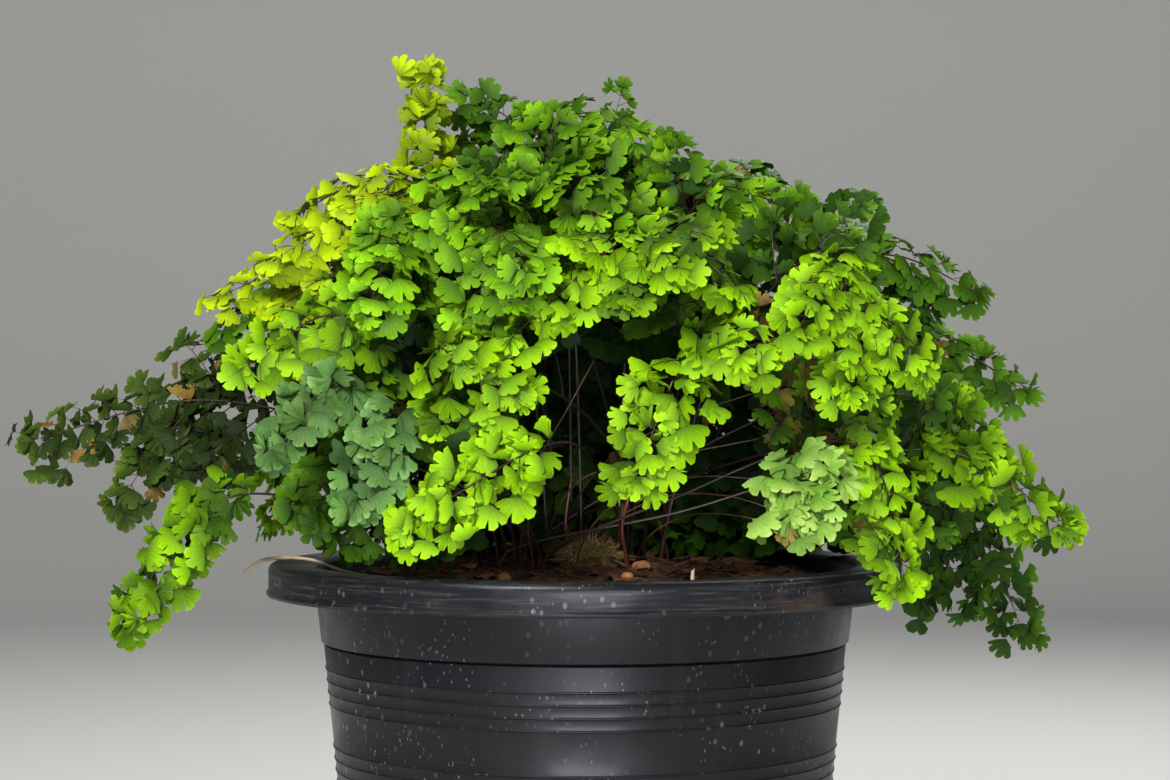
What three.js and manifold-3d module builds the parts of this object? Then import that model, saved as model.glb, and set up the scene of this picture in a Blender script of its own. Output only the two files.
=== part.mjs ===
// A potted maidenhair fern: a dome of arching fronds on thin dark stalks, in a round black nursery pot.
// Millimetres, +Z up. The origin is the centre of the pot's base, and the viewer stands at -Y.

import * as THREE from "three";
import { mergeVertices } from "three/addons/utils/BufferGeometryUtils.js";
import Module from "manifold-3d";

const wasm = await Module();
wasm.setup();

// Clearances
const gap = 0.3; // between any two pieces that lie against each other
const soilGap = 0.4; // between the root ball and the pot's wall
const grid = 0.02; // joined solids have their vertices on a grid this fine, so none lie closer

// Pot: a 12 inch nursery pot with a turned-down rim
const potHeight = 244;
const rimRadius = 150;
const rimSkirt = 14.5; // height of the rim's outer skirt
const rimRound = 4.5; // how far the rim's top edges are rounded off
const wall = 2.5;
const bodyFoot = 102.4; // outer radius that the body's taper would have at the ground
const bodyTaper = 0.1; // growth of that radius for each millimetre of height
const collarBase = 206; // where the plain collar under the rim starts
const collarStep = 1.6; // height of the groove that sets the collar off
const grooveDepth = 1.2;
const collarRadius = [124.3, 126.7]; // outer, at the collar's foot and under the rim
const channelHeight = 5; // how far the ring with the drain holes is raised
const channelRadii = [66, 86];
const channelRun = 4; // how far each side of that ring slopes
const foldIn = 1; // how far the floor's inner folds stand in from the outer ones
const footRadius = 99;
const drainHoles = 8;
const drainRadius = 5;
const drillSides = 8;
const drillLength = 20;
const turns = 30; // flat sides round the pot and the root ball

// Soil and what lies on it
const soilEdge = 234;
const soilCrown = 245;
const soilSwell = 1.3; // height of the wide unevenness of its surface
const soilLump = 0.6; // and of the fine one
const soilRings = [110, 76, 40]; // radii at which the surface bends
const litterLift = 0.35; // how far litter lies clear of the soil
const mossPlace = new THREE.Vector2(2, -34); // a clump of moss and dead roots at the foot of the stalks
const mossSize = [16, 11, 12];
const mossRoughness = 0.22;
const mossSides = 12;
const stones = [
  [26, -46, 4.4, 3.4, 3],
  [19, -70, 3, 2.4, 2],
  [84, -62, 4.6, 3, 2.2],
  [-36, -74, 3.4, 3, 2.2],
]; // place and half sizes of each
const stoneRoughness = 0.12;
const stoneSides = 7;
const dryStalkRoute = [
  [-160, -6, 239],
  [-152, -9, 244.6],
  [-142, -12, 246],
  [-128, -20, 245.8],
  [-112, -34, 241.6],
  [-94, -50, 239.4],
];
const dryStalkRadius = 1;
const dryStalkSteps = 9;
const stubPlace = new THREE.Vector2(46, -98);
const stubHeight = 9.5; // above the soil
const stubRadius = 0.8;

// Fronds
const domeCentre = new THREE.Vector3(0, 0, 230); // leaves face away from this point
const lightPull = 0.8; // how strongly the leaves in front turn towards the light at -Y
const stalkFoot = 226; // lowest point of a stalk, in its hole
const stalkRadius = [1.1, 0.8]; // to a stalk's edges, at the root and at its end
const stalkSides = 3;
const stalkSteps = 7;
const stalkUpright = 6; // how far above the soil a stalk starts to lean
const stubLength = 20; // of a stalk's upright foot
const holeRadius = 2.7; // to the corners of a stalk's hole in the soil
const holeMouth = 40; // how far above its foot a hole's cutter reaches
const bladeThickness = 0.7;
const ribHalf = 1.1; // half the width of the green rib between leaflets
const leafFirst = 6; // from the start of a rib to its first leaflet
const leafPitch = 26; // between leaflets on one side of a rib
const leafReach = 30; // from the rib to a leaflet's outer edge
const leafWidth = 22.4; // across a leaflet's outer edge
const tipLength = 11; // of the leaflet at the end of a rib
const tipHalf = 8.5; // half of its width
const tipNotch = 3;
const firstReach = 0.8; // of the first leaflet, as a share of the widest
const reachLoss = 0.42; // how much shorter the leaflets get towards the tip
const leafSpread = 0.8; // most that a leaflet is wide, as a share of its length
const leafNeck = 1.9; // half the width of a leaflet where it meets the rib
const leafLean = THREE.MathUtils.degToRad(62); // between a leaflet and its rib
const leafEdge = [
  [0.76, -0.98],
  [1, -0.42],
  [0.83, 0.14],
  [0.98, 0.86],
]; // the cut outer edge, as shares of the reach and of half the width
const leafRipple = 2.4; // how far a leaflet's corners are tilted up and down
const leafDroop = 5.5; // how far a leaflet's outer edge hangs below its rib
const leafRun = 24; // length of rib to each side that sets the way a leaflet lies

const tones = {
  lime: 0x77a61c,
  yellow: 0x93ad14,
  deep: 0x3f6d14,
  dull: 0x2f481c,
  blue: 0x6f9a5c,
  pale: 0x93c05e,
};

// One row for each frond: its name, its tone, the crest of its arch, its tip, and what else it needs.
// root places its foot on the soil, rise is the share of the climb done at the first third of its way,
// face is the way its leaves look, leafy is the length with leaves, sides are its side sprays.
const toViewer = [0.05, -1, 0.25];
const low = { rise: 0.5 }; // a stalk that stays low over the soil
const fronds = [
  ["frond_top_spike", "yellow", [-72, 15, 420], [-77, 12, 484], { root: [-10, 15], face: toViewer, leafy: 92 }],
  ["frond_far_left", "dull", [-190, 65, 320], [-284, 74, 298], { root: [-50, 20], leafy: 112, sides: "L" }],
  ["frond_low_left", "lime", [-165, -55, 275], [-212, -62, 214], { root: [-60, -20], leafy: 88 }],
  ["frond_far_right", "lime", [165, -50, 297], [223, -50, 258], { leafy: 92, sides: "R" }],
  ["frond_top_right_spike", "deep", [12, 50, 446], [20, 50, 480], { face: toViewer, leafy: 66 }],
  ["frond_front_low", "lime", [-15, -120, 296], [-86, -133, 254], { leafy: 86 }],
  ["frond_right_front", "lime", [109, -70, 387], [116, -107, 318], { leafy: 72, sides: "LR" }],
  ["frond_hang_centre", "lime", [41, -104, 336], [19, -115, 280], { leafy: 74 }],
  ["frond_right_low", "yellow", [120, -92, 300], [142, -98, 233], { root: [-18, -50], ...low, leafy: 64 }],
  ["frond_pale_low", "pale", [98, -100, 297], [84, -130, 262], { root: [-34, 10], ...low, leafy: 48, sides: "L" }],
  ["frond_upper_left", "yellow", [-90, -5, 425], [-143, -12, 404], { leafy: 92, sides: "L" }],
  ["frond_middle_left", "yellow", [-100, -35, 403], [-150, -46, 380], { leafy: 80 }],
  ["frond_left_shoulder", "lime", [-125, -15, 383], [-176, -22, 366], { leafy: 68, sides: "R" }],
  ["frond_left_dark", "deep", [-140, 30, 375], [-187, 40, 350], { leafy: 80 }],
  ["frond_left_front", "lime", [-110, -85, 358], [-157, -88, 330], { leafy: 70, sides: "L" }],
  ["frond_blue_left", "blue", [-108, -106, 326], [-140, -112, 296], { leafy: 66 }],
  ["frond_blue_hanging", "blue", [-82, -112, 316], [-100, -124, 270], { leafy: 66 }],
  ["frond_front_left", "lime", [-63, -108, 344], [-24, -124, 318], { leafy: 74 }],
  ["frond_arch_left", "lime", [24, -80, 393], [-38, -113, 342], { leafy: 92, sides: "R" }],
  ["frond_arch_right", "lime", [24, -70, 400], [72, -110, 364], { leafy: 92 }],
  ["frond_hang_wing", "lime", [50, -100, 350], [82, -124, 338], { leafy: 56 }],
  ["frond_right_top", "lime", [60, -30, 418], [135, -38, 383], { leafy: 100, sides: "R" }],
  ["frond_right_crown", "deep", [70, 25, 428], [118, 30, 404], { leafy: 80, sides: "L" }],
  ["frond_right_back_top", "deep", [146, 60, 392], [201, 62, 371], { leafy: 84, sides: "R" }],
  ["frond_right_back", "deep", [168, 40, 347], [222, 42, 321], { leafy: 80, sides: "L" }],
  ["frond_right_middle", "lime", [150, -14, 330], [194, -14, 294], { leafy: 62, sides: "R" }],
  ["frond_low_back", "dull", [186, 60, 262], [221, 62, 198], { root: [-8, 34], ...low, leafy: 88, sides: "R" }],
  ["frond_brown", "deep", [81, -72, 345], [98, -82, 298], { leafy: 64 }],
  ["frond_top_dark", "deep", [-28, 50, 446], [-65, 52, 470], { leafy: 72 }],
  ["frond_top_front", "lime", [-12, -20, 440], [27, -26, 430], { leafy: 72, sides: "R" }],
  ["frond_centre_high", "lime", [-12, -48, 424], [8, -66, 396], { leafy: 62 }],
  ["frond_centre_left", "lime", [-52, -50, 424], [-62, -70, 384], { leafy: 60 }],
  ["frond_centre_low", "lime", [-38, -78, 396], [-48, -98, 352], { leafy: 66 }],
  ["frond_middle_low", "lime", [-83, -70, 390], [-98, -92, 350], { leafy: 56 }],
  ["frond_lower_left", "deep", [-103, -60, 286], [-134, -72, 256], { leafy: 56 }],
  ["frond_top_back", "deep", [30, 62, 442], [58, 96, 412], { leafy: 56 }],
  ["frond_back_left_high", "lime", [-66, 72, 426], [-100, 104, 388], { leafy: 84, sides: "R" }],
  ["frond_back_high", "lime", [-8, 100, 420], [-14, 142, 376], { leafy: 80, sides: "L" }],
  ["frond_back_right", "lime", [96, 110, 372], [134, 146, 322], { leafy: 88, sides: "R" }],
  ["frond_back_centre", "lime", [26, 136, 352], [36, 180, 296], { leafy: 88, sides: "L" }],
  ["frond_back_left", "deep", [-76, 128, 346], [-100, 172, 292], { leafy: 88, sides: "R" }],
  ["frond_back_low_left", "lime", [-128, 108, 310], [-168, 138, 250], { leafy: 88 }],
  ["frond_back_low", "deep", [-20, 152, 286], [-26, 198, 226], { leafy: 80 }],
  ["frond_back_low_right", "lime", [92, 136, 290], [120, 176, 232], { leafy: 80 }],
];

const defaultRise = 0.68;
const kneeShare = 0.38; // how far out a stalk has done that part of its climb
const rootShare = 0.33; // how far out a stalk is rooted, as a share of its crest's distance
const rootRange = [12, 62];
const rootSpacing = 7.5;
const rootStep = THREE.MathUtils.degToRad(9);
const mossKeepOff = 17; // between a stalk's root and the middle of the moss
const sideAngle = THREE.MathUtils.degToRad(52);
const sideLength = 0.56; // of a side spray, as a share of the leafy length
const sideFirst = 3; // from the start of the leafy length to its first side spray
const sideStep = 14;
const stalkOverlap = 5; // how far a stalk runs on inside the rib
const sideArch = 3; // how far a side spray's middle stands up
const sideSag = 0.22; // how far its tip hangs, as a share of its length
const sideReach = 0.92; // of its leaflets, as a share of the main spray's

// Bends that a frond may take to hang clear of those already placed
const bendLengths = [1, 0.86];
const bendShifts = [0, -5, 5, -10, 10, -16]; // outwards from the dome's centre
const bendSways = [0, 9, -9, 18, -18]; // sideways, of the stalk's rise
const bendRolls = [0, 7, -7, 14, -14, 28, -28]; // degrees, about the rib

const potMaterial = { color: 0x17171b, roughness: 0.34, metalness: 0 };
const soilMaterial = { color: 0x2a1a10, roughness: 0.95, metalness: 0 };
const mossMaterial = { color: 0x5d5230, roughness: 1, metalness: 0 };
const stoneMaterial = { color: 0x8b6a44, roughness: 0.85, metalness: 0 };
const strawMaterial = { color: 0xb9ab8c, roughness: 0.8, metalness: 0 };

const point = ([x, y, z]) => new THREE.Vector3(x, y, z);

// Solids from three.js geometries, and back

function solidOf(geometry) {
  const bare = geometry.clone();
  bare.deleteAttribute("normal");
  bare.deleteAttribute("uv");
  const merged = mergeVertices(bare, 1e-4);
  return new wasm.Manifold(
    new wasm.Mesh({
      numProp: 3,
      vertProperties: new Float32Array(merged.attributes.position.array),
      triVerts: new Uint32Array(merged.index.array),
    }),
  );
}

function geometryOf(solid) {
  const { vertProperties, triVerts } = solid.getMesh();
  const geometry = new THREE.BufferGeometry();
  geometry.setAttribute("position", new THREE.BufferAttribute(new Float32Array(vertProperties), 3));
  geometry.setIndex(new THREE.BufferAttribute(new Uint32Array(triVerts), 1));
  geometry.computeVertexNormals();
  return geometry;
}

// Puts a joined solid's vertices on the grid, or gives nothing where that would leave it open or in two
function onGrid(solid) {
  const rounded = reshape(geometryOf(solid), (v) => v.divideScalar(grid).round().multiplyScalar(grid));
  rounded.deleteAttribute("normal");
  const merged = mergeVertices(rounded, grid / 10);
  const corners = merged.index.array;
  const faces = [];
  const uses = new Map();
  for (let i = 0; i < corners.length; i += 3) {
    const face = corners.slice(i, i + 3);
    if (new Set(face).size < 3) continue;
    faces.push(...face);
    for (let k = 0; k < 3; k++) {
      const edge = [face[k], face[(k + 1) % 3]].sort().join();
      uses.set(edge, (uses.get(edge) ?? 0) + 1);
    }
  }
  if ([...uses.values()].some((count) => count !== 2)) return null;
  merged.setIndex(faces);
  const whole = solidOf(merged);
  return whole.decompose().length === 1 ? whole : null;
}

function addPiece(group, name, solid, look) {
  const mesh = new THREE.Mesh(geometryOf(solid), new THREE.MeshStandardMaterial(look));
  mesh.name = name;
  group.add(mesh);
}

// Moves each vertex of a geometry by a rule
function reshape(geometry, rule) {
  const place = geometry.attributes.position;
  const vertex = new THREE.Vector3();
  for (let i = 0; i < place.count; i++) {
    vertex.fromBufferAttribute(place, i);
    rule(vertex);
    place.setXYZ(i, vertex.x, vertex.y, vertex.z);
  }
  return geometry;
}

// A closed profile of [radius, height] pairs turned about the Z axis
function turned(profile) {
  const points = profile.map(([r, z]) => new THREE.Vector2(r, z));
  return new THREE.LatheGeometry(points, turns).rotateX(Math.PI / 2);
}

// Pot

function bodyRadius(z) {
  return bodyFoot + bodyTaper * z;
}

function potProfile() {
  const rimBase = potHeight - rimSkirt;
  const [low, high] = collarRadius;
  const [channelIn, channelOut] = channelRadii;
  return [
    [0, 0],
    [channelIn - channelRun, 0],
    [channelIn, channelHeight],
    [channelOut, channelHeight],
    [channelOut + channelRun, 0],
    [footRadius, 0],
    [bodyRadius(wall), wall],
    [bodyRadius(collarBase), collarBase],
    [bodyRadius(collarBase) - grooveDepth, collarBase + collarStep / 2],
    [low, collarBase + collarStep],
    [high, rimBase],
    [high + wall, potHeight - wall],
    [rimRadius - 2 * wall, potHeight - wall],
    [rimRadius - wall, rimBase],
    [rimRadius, rimBase],
    [rimRadius - rimRound / 2, potHeight - rimRound],
    [rimRadius - rimRound, potHeight],
    [high + rimRound / 2, potHeight],
    [high, potHeight - rimRound / 2],
    [high - wall, rimBase],
    [low - wall, collarBase + 2 * collarStep],
    [bodyRadius(collarBase) - wall, collarBase],
    [bodyRadius(0) - wall, wall],
    [channelOut + channelRun + foldIn, wall],
    [channelOut + foldIn, channelHeight + wall],
    [channelIn - foldIn, channelHeight + wall],
    [channelIn - channelRun - foldIn, wall],
    [0, wall],
  ];
}

function makePot() {
  let pot = solidOf(turned(potProfile()));
  const ring = (channelRadii[0] + channelRadii[1]) / 2;
  for (let i = 0; i < drainHoles; i++) {
    const angle = ((i + 0.5) / drainHoles) * 2 * Math.PI;
    const drill = new THREE.CylinderGeometry(drainRadius, drainRadius, drillLength, drillSides);
    drill.rotateX(Math.PI / 2).translate(ring * Math.cos(angle), ring * Math.sin(angle), channelHeight);
    pot = pot.subtract(solidOf(drill));
  }
  return pot;
}

// Soil, one root ball with the creeping rootstock hidden in it

function soilHeight(x, y) {
  const share = Math.hypot(x, y) / collarRadius[0];
  const mound = soilEdge + (soilCrown - soilEdge) * (1 - share ** 2);
  const swells = soilSwell * Math.sin(0.09 * x + 1.2) * Math.cos(0.11 * y - 0.4);
  const lumps = soilLump * Math.sin(0.23 * x - 0.17 * y);
  return mound + (swells + lumps) * (1 - share ** 4);
}

function soilProfile() {
  const inner = wall + soilGap;
  const [channelIn, channelOut] = channelRadii;
  const fold = foldIn + soilGap;
  const top = soilRings.map((r) => [r, potHeight]);
  return [
    [0, inner],
    [channelIn - channelRun - fold, inner],
    [channelIn - fold, channelHeight + inner],
    [channelOut + fold, channelHeight + inner],
    [channelOut + channelRun + fold, inner],
    [bodyRadius(0) - inner, inner],
    [bodyRadius(collarBase) - inner, collarBase],
    [collarRadius[0] - inner, collarBase + 2 * collarStep],
    [collarRadius[1] - inner, soilEdge - 1],
    ...top,
    [0, potHeight],
  ];
}

function makeSoilBody() {
  const isTop = (z) => z > potHeight - 1;
  return solidOf(reshape(turned(soilProfile()), (v) => (isTop(v.z) ? v.setZ(soilHeight(v.x, v.y)) : v)));
}

// A lump that lies on the soil, its underside following the ground
function lumpOn(soil, [x, y], [a, b, c], roughness, sides) {
  const ball = reshape(new THREE.SphereGeometry(1, sides, Math.ceil(sides / 2)), (v) => {
    const swell = 1 + roughness * Math.sin(4.3 * v.x + 2.1 * v.z + x) * Math.cos(3.7 * v.y - 1.3 * v.z + y);
    v.set(v.x * a * swell, v.y * b * swell, v.z * c * swell);
  });
  ball.translate(x, y, soilHeight(x, y) + c / 4);
  return onGrid(solidOf(ball).subtract(soil.translate([0, 0, litterLift])));
}

// A round stalk along a path
function stalkAlong(points, radius, steps) {
  const section = new THREE.Shape().absarc(0, 0, radius, 0, 2 * Math.PI);
  const path = new THREE.CatmullRomCurve3(points.map(point));
  return solidOf(new THREE.ExtrudeGeometry(section, { steps, curveSegments: 4, extrudePath: path }));
}

// The pale stub of a cut stalk, upright in its own hole
function stubRoute() {
  const { x, y } = stubPlace;
  const foot = stalkFoot + gap;
  const top = soilHeight(x, y) + stubHeight;
  return [foot, (foot + top) / 2, top].map((z) => [x, y, z]);
}

// Outline of one spray, in its own plane: x along the rib, y across it.
// The leaflets alternate, and each is cut to the rib.

function reachAt(share, reach) {
  return reach * Math.min(1, firstReach + share) * (1 - reachLoss * share ** 2);
}

function leafletPoints(x, side, length, reach) {
  const long = reachAt(x / length, reach);
  const half = Math.min(leafWidth, leafSpread * long) / 2;
  const out = new THREE.Vector2(Math.cos(leafLean), side * Math.sin(leafLean));
  const along = new THREE.Vector2(Math.sin(leafLean), -side * Math.cos(leafLean));
  const at = (far, across) =>
    new THREE.Vector2(x, side * ribHalf).addScaledVector(out, far * long).addScaledVector(along, across * half);
  return [
    new THREE.Vector2(x - leafNeck, side * ribHalf),
    ...leafEdge.map(([far, across]) => at(far, across)),
    new THREE.Vector2(x + leafNeck, side * ribHalf),
  ];
}

function sprayOutline(length, reach) {
  const end = length - tipLength;
  const sideOf = (side, start) => {
    const points = [];
    for (let x = start; x < end - tipLength / 2; x += leafPitch) {
      points.push(...leafletPoints(x, side, length, reach));
    }
    return points;
  };
  const upper = sideOf(1, leafFirst);
  const lower = sideOf(-1, leafFirst + leafPitch / 2).reverse();
  const tip = [
    [end, ribHalf],
    [length, tipHalf],
    [length - tipNotch, 0],
    [length, -tipHalf],
    [end, -ribHalf],
  ].map(([x, y]) => new THREE.Vector2(x, y));
  return [new THREE.Vector2(0, ribHalf), ...upper, ...tip, ...lower, new THREE.Vector2(0, -ribHalf)];
}

// Bends a flat spray along its rib. The rib is a curve, from the distance start on it.
function bentSpray({ rib, start, length, reach, face, roll }) {
  const outline = new THREE.Shape(sprayOutline(length, reach));
  const flat = new THREE.ExtrudeGeometry(outline, { depth: bladeThickness, bevelEnabled: false });
  const whole = rib.getLength();
  const set = { middle: (start + length / 2) / whole, face, roll };
  return reshape(flat, (v) => {
    const [x, y] = [v.x, v.y];
    const share = THREE.MathUtils.clamp((start + x) / whole, 0, 1);
    const { place, across, up } = ribFrame(rib, share, set);
    const out = y / reach;
    const ripple = leafRipple * Math.sin((2 * Math.PI * x) / leafPitch) * Math.abs(out);
    const height = v.z - bladeThickness / 2 + ripple - leafDroop * out ** 2;
    v.copy(place).addScaledVector(across, y).addScaledVector(up, height);
  });
}

// Way that a rib runs, near enough: leaflets don't follow each of its turns, or neighbours would fold together
function runAt(rib, share) {
  const part = leafRun / rib.getLength();
  return rib.getPointAt(Math.min(1, share + part)).sub(rib.getPointAt(Math.max(0, share - part))).normalize();
}

// Leaves look outwards and to the light at the middle of their spray, and the blade runs on from there untwisted
function ribFrame(rib, share, { middle, face, roll }) {
  const heart = runAt(rib, middle);
  const centre = rib.getPointAt(middle);
  const look = face ? face.clone() : centre.clone().sub(domeCentre).normalize();
  if (!face) look.y -= lightPull * THREE.MathUtils.clamp(0.5 - centre.y / 150, 0, 1);
  const up = look.addScaledVector(heart, -look.dot(heart)).normalize().applyAxisAngle(heart, roll);
  const ahead = runAt(rib, share);
  up.applyQuaternion(new THREE.Quaternion().setFromUnitVectors(heart, ahead));
  return { place: rib.getPointAt(share), ahead, up, across: up.clone().cross(ahead) };
}

// Fronds

function spineOf(frond, bend) {
  const { root, crest, tip, rise } = frond;
  const outward = crest.clone().sub(domeCentre).normalize().multiplyScalar(bend.shift);
  const top = crest.clone().add(outward);
  const end = tip.clone().add(outward);
  const ground = soilHeight(root.x, root.y);
  const flow = new THREE.Vector3(top.x - root.x, top.y - root.y, 0);
  const aside = new THREE.Vector3(-flow.y, flow.x, 0).setLength(bend.sway);
  const foot = ground + stalkUpright;
  const knee = new THREE.Vector3(root.x, root.y, foot + (top.z - foot) * rise);
  knee.addScaledVector(flow, kneeShare).add(aside);
  return new THREE.CatmullRomCurve3(
    [
      new THREE.Vector3(root.x, root.y, stalkFoot),
      new THREE.Vector3(root.x, root.y, ground - 1),
      new THREE.Vector3(root.x, root.y, ground + stalkUpright),
      knee,
      top,
      end,
    ],
    false,
    "centripetal",
  );
}

// A three-sided stalk that tapers from its root to the distance end on its spine
function stalkOf(spine, end) {
  const whole = spine.getLength();
  const shares = [0];
  for (let i = 0; i < stalkSteps; i++) {
    shares.push((stubLength + ((end - stubLength) * i) / (stalkSteps - 1)) / whole);
  }
  let side = new THREE.Vector3(1, 0, 0);
  const frames = shares.map((share) => {
    const ahead = spine.getTangentAt(share);
    side = side.clone().addScaledVector(ahead, -side.dot(ahead)).normalize();
    return { place: spine.getPointAt(share), side, other: side.clone().cross(ahead) };
  });
  const bar = new THREE.CylinderGeometry(1, 1, 1, stalkSides, stalkSteps);
  return reshape(bar, (v) => {
    const share = v.y + 0.5;
    const radius = THREE.MathUtils.lerp(...stalkRadius, share);
    const frame = frames[Math.round(share * stalkSteps)];
    const [x, z] = [v.x * radius, v.z * radius];
    v.copy(frame.place).addScaledVector(frame.side, x).addScaledVector(frame.other, z);
  });
}

// A side spray's rib leaves the spine at the distance start, arches out and sags
function sideRib(spine, start, side, length, set) {
  const { place, ahead, up, across } = ribFrame(spine, start / spine.getLength(), set);
  const heading = ahead.clone().multiplyScalar(Math.cos(sideAngle));
  heading.addScaledVector(across, side * Math.sin(sideAngle));
  const middle = place.clone().addScaledVector(heading, length / 2).addScaledVector(up, sideArch);
  const end = place.clone().addScaledVector(heading, length);
  end.z -= length * sideSag;
  return new THREE.QuadraticBezierCurve3(place, middle, end);
}

function frondSolid(frond, bend) {
  const spine = spineOf(frond, bend);
  const whole = spine.getLength();
  const leafy = frond.leafy * bend.length;
  const roll = THREE.MathUtils.degToRad(bend.roll);
  const start = whole - leafy;
  const main = { rib: spine, start, length: leafy, reach: leafReach, face: frond.face, roll };
  const forks = frond.sides.map((_, i) => start + sideFirst + sideStep * i);
  const stalkEnd = (forks.at(-1) ?? start) + stalkOverlap;
  const parts = [solidOf(stalkOf(spine, stalkEnd)), solidOf(bentSpray(main))];
  frond.sides.forEach((side, i) => {
    const set = { middle: 1 - leafy / 2 / whole, face: frond.face, roll };
    const rib = sideRib(spine, forks[i], side, leafy * sideLength, set);
    const size = { length: rib.getLength(), reach: leafReach * sideReach };
    parts.push(solidOf(bentSpray({ rib, start: 0, ...size, face: frond.face, roll })));
  });
  return onGrid(wasm.Manifold.union(parts).simplify(grid));
}

function boxesNear(a, b) {
  return [0, 1, 2].every((k) => a.min[k] - gap < b.max[k] && b.min[k] - gap < a.max[k]);
}

function isClear(solid, others) {
  const box = solid.boundingBox();
  return others.every((other) => !boxesNear(box, other.box) || solid.minGap(other.solid, 2 * gap) >= gap);
}

// The first bend that hangs clear of all that is already there
function clearFrond(frond, others) {
  for (const length of bendLengths)
    for (const shift of bendShifts)
      for (const sway of bendSways)
        for (const roll of bendRolls) {
          const solid = frondSolid(frond, { length, shift, sway, roll });
          if (solid && isClear(solid, others)) return solid;
        }
  return null;
}

// A frond keeps its side sprays where they can hang clear
function placedFrond(frond, others) {
  while (true) {
    const solid = clearFrond(frond, others);
    if (solid) return solid;
    if (!frond.sides.length) throw new Error(`${frond.name} crosses another piece`);
    frond = { ...frond, sides: frond.sides.slice(0, -1) };
  }
}

function frondFrom([name, tone, crest, tip, extra]) {
  const top = point(crest);
  const far = Math.hypot(top.x, top.y);
  const reach = THREE.MathUtils.clamp(far * rootShare, ...rootRange) / far;
  const [x, y] = extra.root ?? [top.x * reach, top.y * reach];
  return {
    name,
    tone,
    crest: top,
    tip: point(tip),
    root: new THREE.Vector2(x, y),
    rise: extra.rise ?? defaultRise,
    face: extra.face && point(extra.face).normalize(),
    leafy: extra.leafy,
    sides: [...(extra.sides ?? "")].map((letter) => (letter === "L" ? -1 : 1)),
  };
}

// Two stalks never share a hole: one that stands too near another steps round the pot's centre
function spreadRoots(list) {
  const origin = new THREE.Vector2();
  list.forEach((frond, i) => {
    const near = () => list.slice(0, i).some((other) => other.root.distanceTo(frond.root) < rootSpacing);
    while (near() || frond.root.distanceTo(mossPlace) < mossKeepOff) frond.root.rotateAround(origin, rootStep);
  });
  return list;
}

function holeFor({ x, y }) {
  const cutter = new THREE.CylinderGeometry(holeRadius, holeRadius, holeMouth, stalkSides);
  return solidOf(cutter.rotateX(Math.PI / 2).translate(x, y, stalkFoot - gap + holeMouth / 2));
}

// Pieces, from the ground up

const fern = new THREE.Group();
const placed = [];

function place(name, solid, look) {
  placed.push({ name, solid, box: solid.boundingBox() });
  addPiece(fern, name, solid, look);
}

const list = spreadRoots(fronds.map(frondFrom));
const wholeSoil = makeSoilBody();
const holes = [...list.map((frond) => frond.root), stubPlace].map(holeFor);

place("pot", makePot(), potMaterial);
place("soil", wholeSoil.subtract(wasm.Manifold.union(holes)), soilMaterial);
place("moss", lumpOn(wholeSoil, mossPlace.toArray(), mossSize, mossRoughness, mossSides), mossMaterial);
stones.forEach(([x, y, ...size], i) => {
  place(`stone_${i + 1}`, lumpOn(wholeSoil, [x, y], size, stoneRoughness, stoneSides), stoneMaterial);
});
place("dry_stalk", stalkAlong(dryStalkRoute, dryStalkRadius, dryStalkSteps), strawMaterial);
place("cut_stub", stalkAlong(stubRoute(), stubRadius, 2), strawMaterial);
for (const frond of list) {
  const look = { color: tones[frond.tone], roughness: 0.55, metalness: 0 };
  place(frond.name, placedFrond(frond, placed), look);
}

export default fern;
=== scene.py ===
# A potted maidenhair fern: arching sprays of fan-shaped leaflets on wiry stalks, in a black nursery pot.
# Metres, +Z up. The pot's base is centred on the origin and the viewer stands at -Y.

import itertools
import math
import random

import bmesh
import bpy
import numpy as np
from mathutils import Matrix, Quaternion, Vector, noise


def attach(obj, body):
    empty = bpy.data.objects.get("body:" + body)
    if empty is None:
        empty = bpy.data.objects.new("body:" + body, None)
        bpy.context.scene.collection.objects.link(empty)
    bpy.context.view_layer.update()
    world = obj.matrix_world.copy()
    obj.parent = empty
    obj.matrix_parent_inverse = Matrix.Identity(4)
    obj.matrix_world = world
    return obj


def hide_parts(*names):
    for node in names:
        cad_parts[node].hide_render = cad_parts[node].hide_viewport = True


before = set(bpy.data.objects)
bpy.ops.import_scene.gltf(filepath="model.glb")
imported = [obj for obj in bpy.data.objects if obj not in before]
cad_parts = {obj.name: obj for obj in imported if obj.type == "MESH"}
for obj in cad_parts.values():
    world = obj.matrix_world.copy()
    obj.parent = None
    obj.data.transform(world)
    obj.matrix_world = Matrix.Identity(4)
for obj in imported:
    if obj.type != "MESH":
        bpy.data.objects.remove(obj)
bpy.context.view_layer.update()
mm = 0.001


# Hand tools

def clearSelection():
    if bpy.context.object and bpy.context.object.mode != "OBJECT":
        bpy.ops.object.mode_set(mode="OBJECT")
    bpy.ops.object.select_all(action="DESELECT")


def makeActive(piece):
    clearSelection()
    piece.select_set(True)
    bpy.context.view_layer.objects.active = piece


def pick(kind, rule):  # in edit mode, leaves only the verts, edges or faces that the rule likes selected
    bpy.ops.mesh.select_all(action="DESELECT")
    shape = bmesh.from_edit_mesh(bpy.context.object.data)
    for item in getattr(shape, kind):
        if rule(item):
            item.select_set(True)
    bmesh.update_edit_mesh(bpy.context.object.data)


def moveVerts(piece, rule):
    for vert in piece.data.vertices:
        vert.co = rule(vert.co)
    piece.data.update()


def useModifier(piece, kind, **settings):
    makeActive(piece)
    modifier = piece.modifiers.new(kind, kind)
    for name, value in settings.items():
        setattr(modifier, name, value)
    bpy.ops.object.modifier_apply(modifier=modifier.name)


def finishPiece(piece, name, material, nodes, smoothAngle=40):
    makeActive(piece)
    piece.name = name
    piece.data.name = name
    piece.data.materials.clear()
    piece.data.materials.append(material)
    bpy.ops.object.transform_apply(location=True, rotation=True, scale=True)
    bpy.ops.object.shade_smooth_by_angle(angle=math.radians(smoothAngle))
    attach(piece, "root")
    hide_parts(*nodes)


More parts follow.
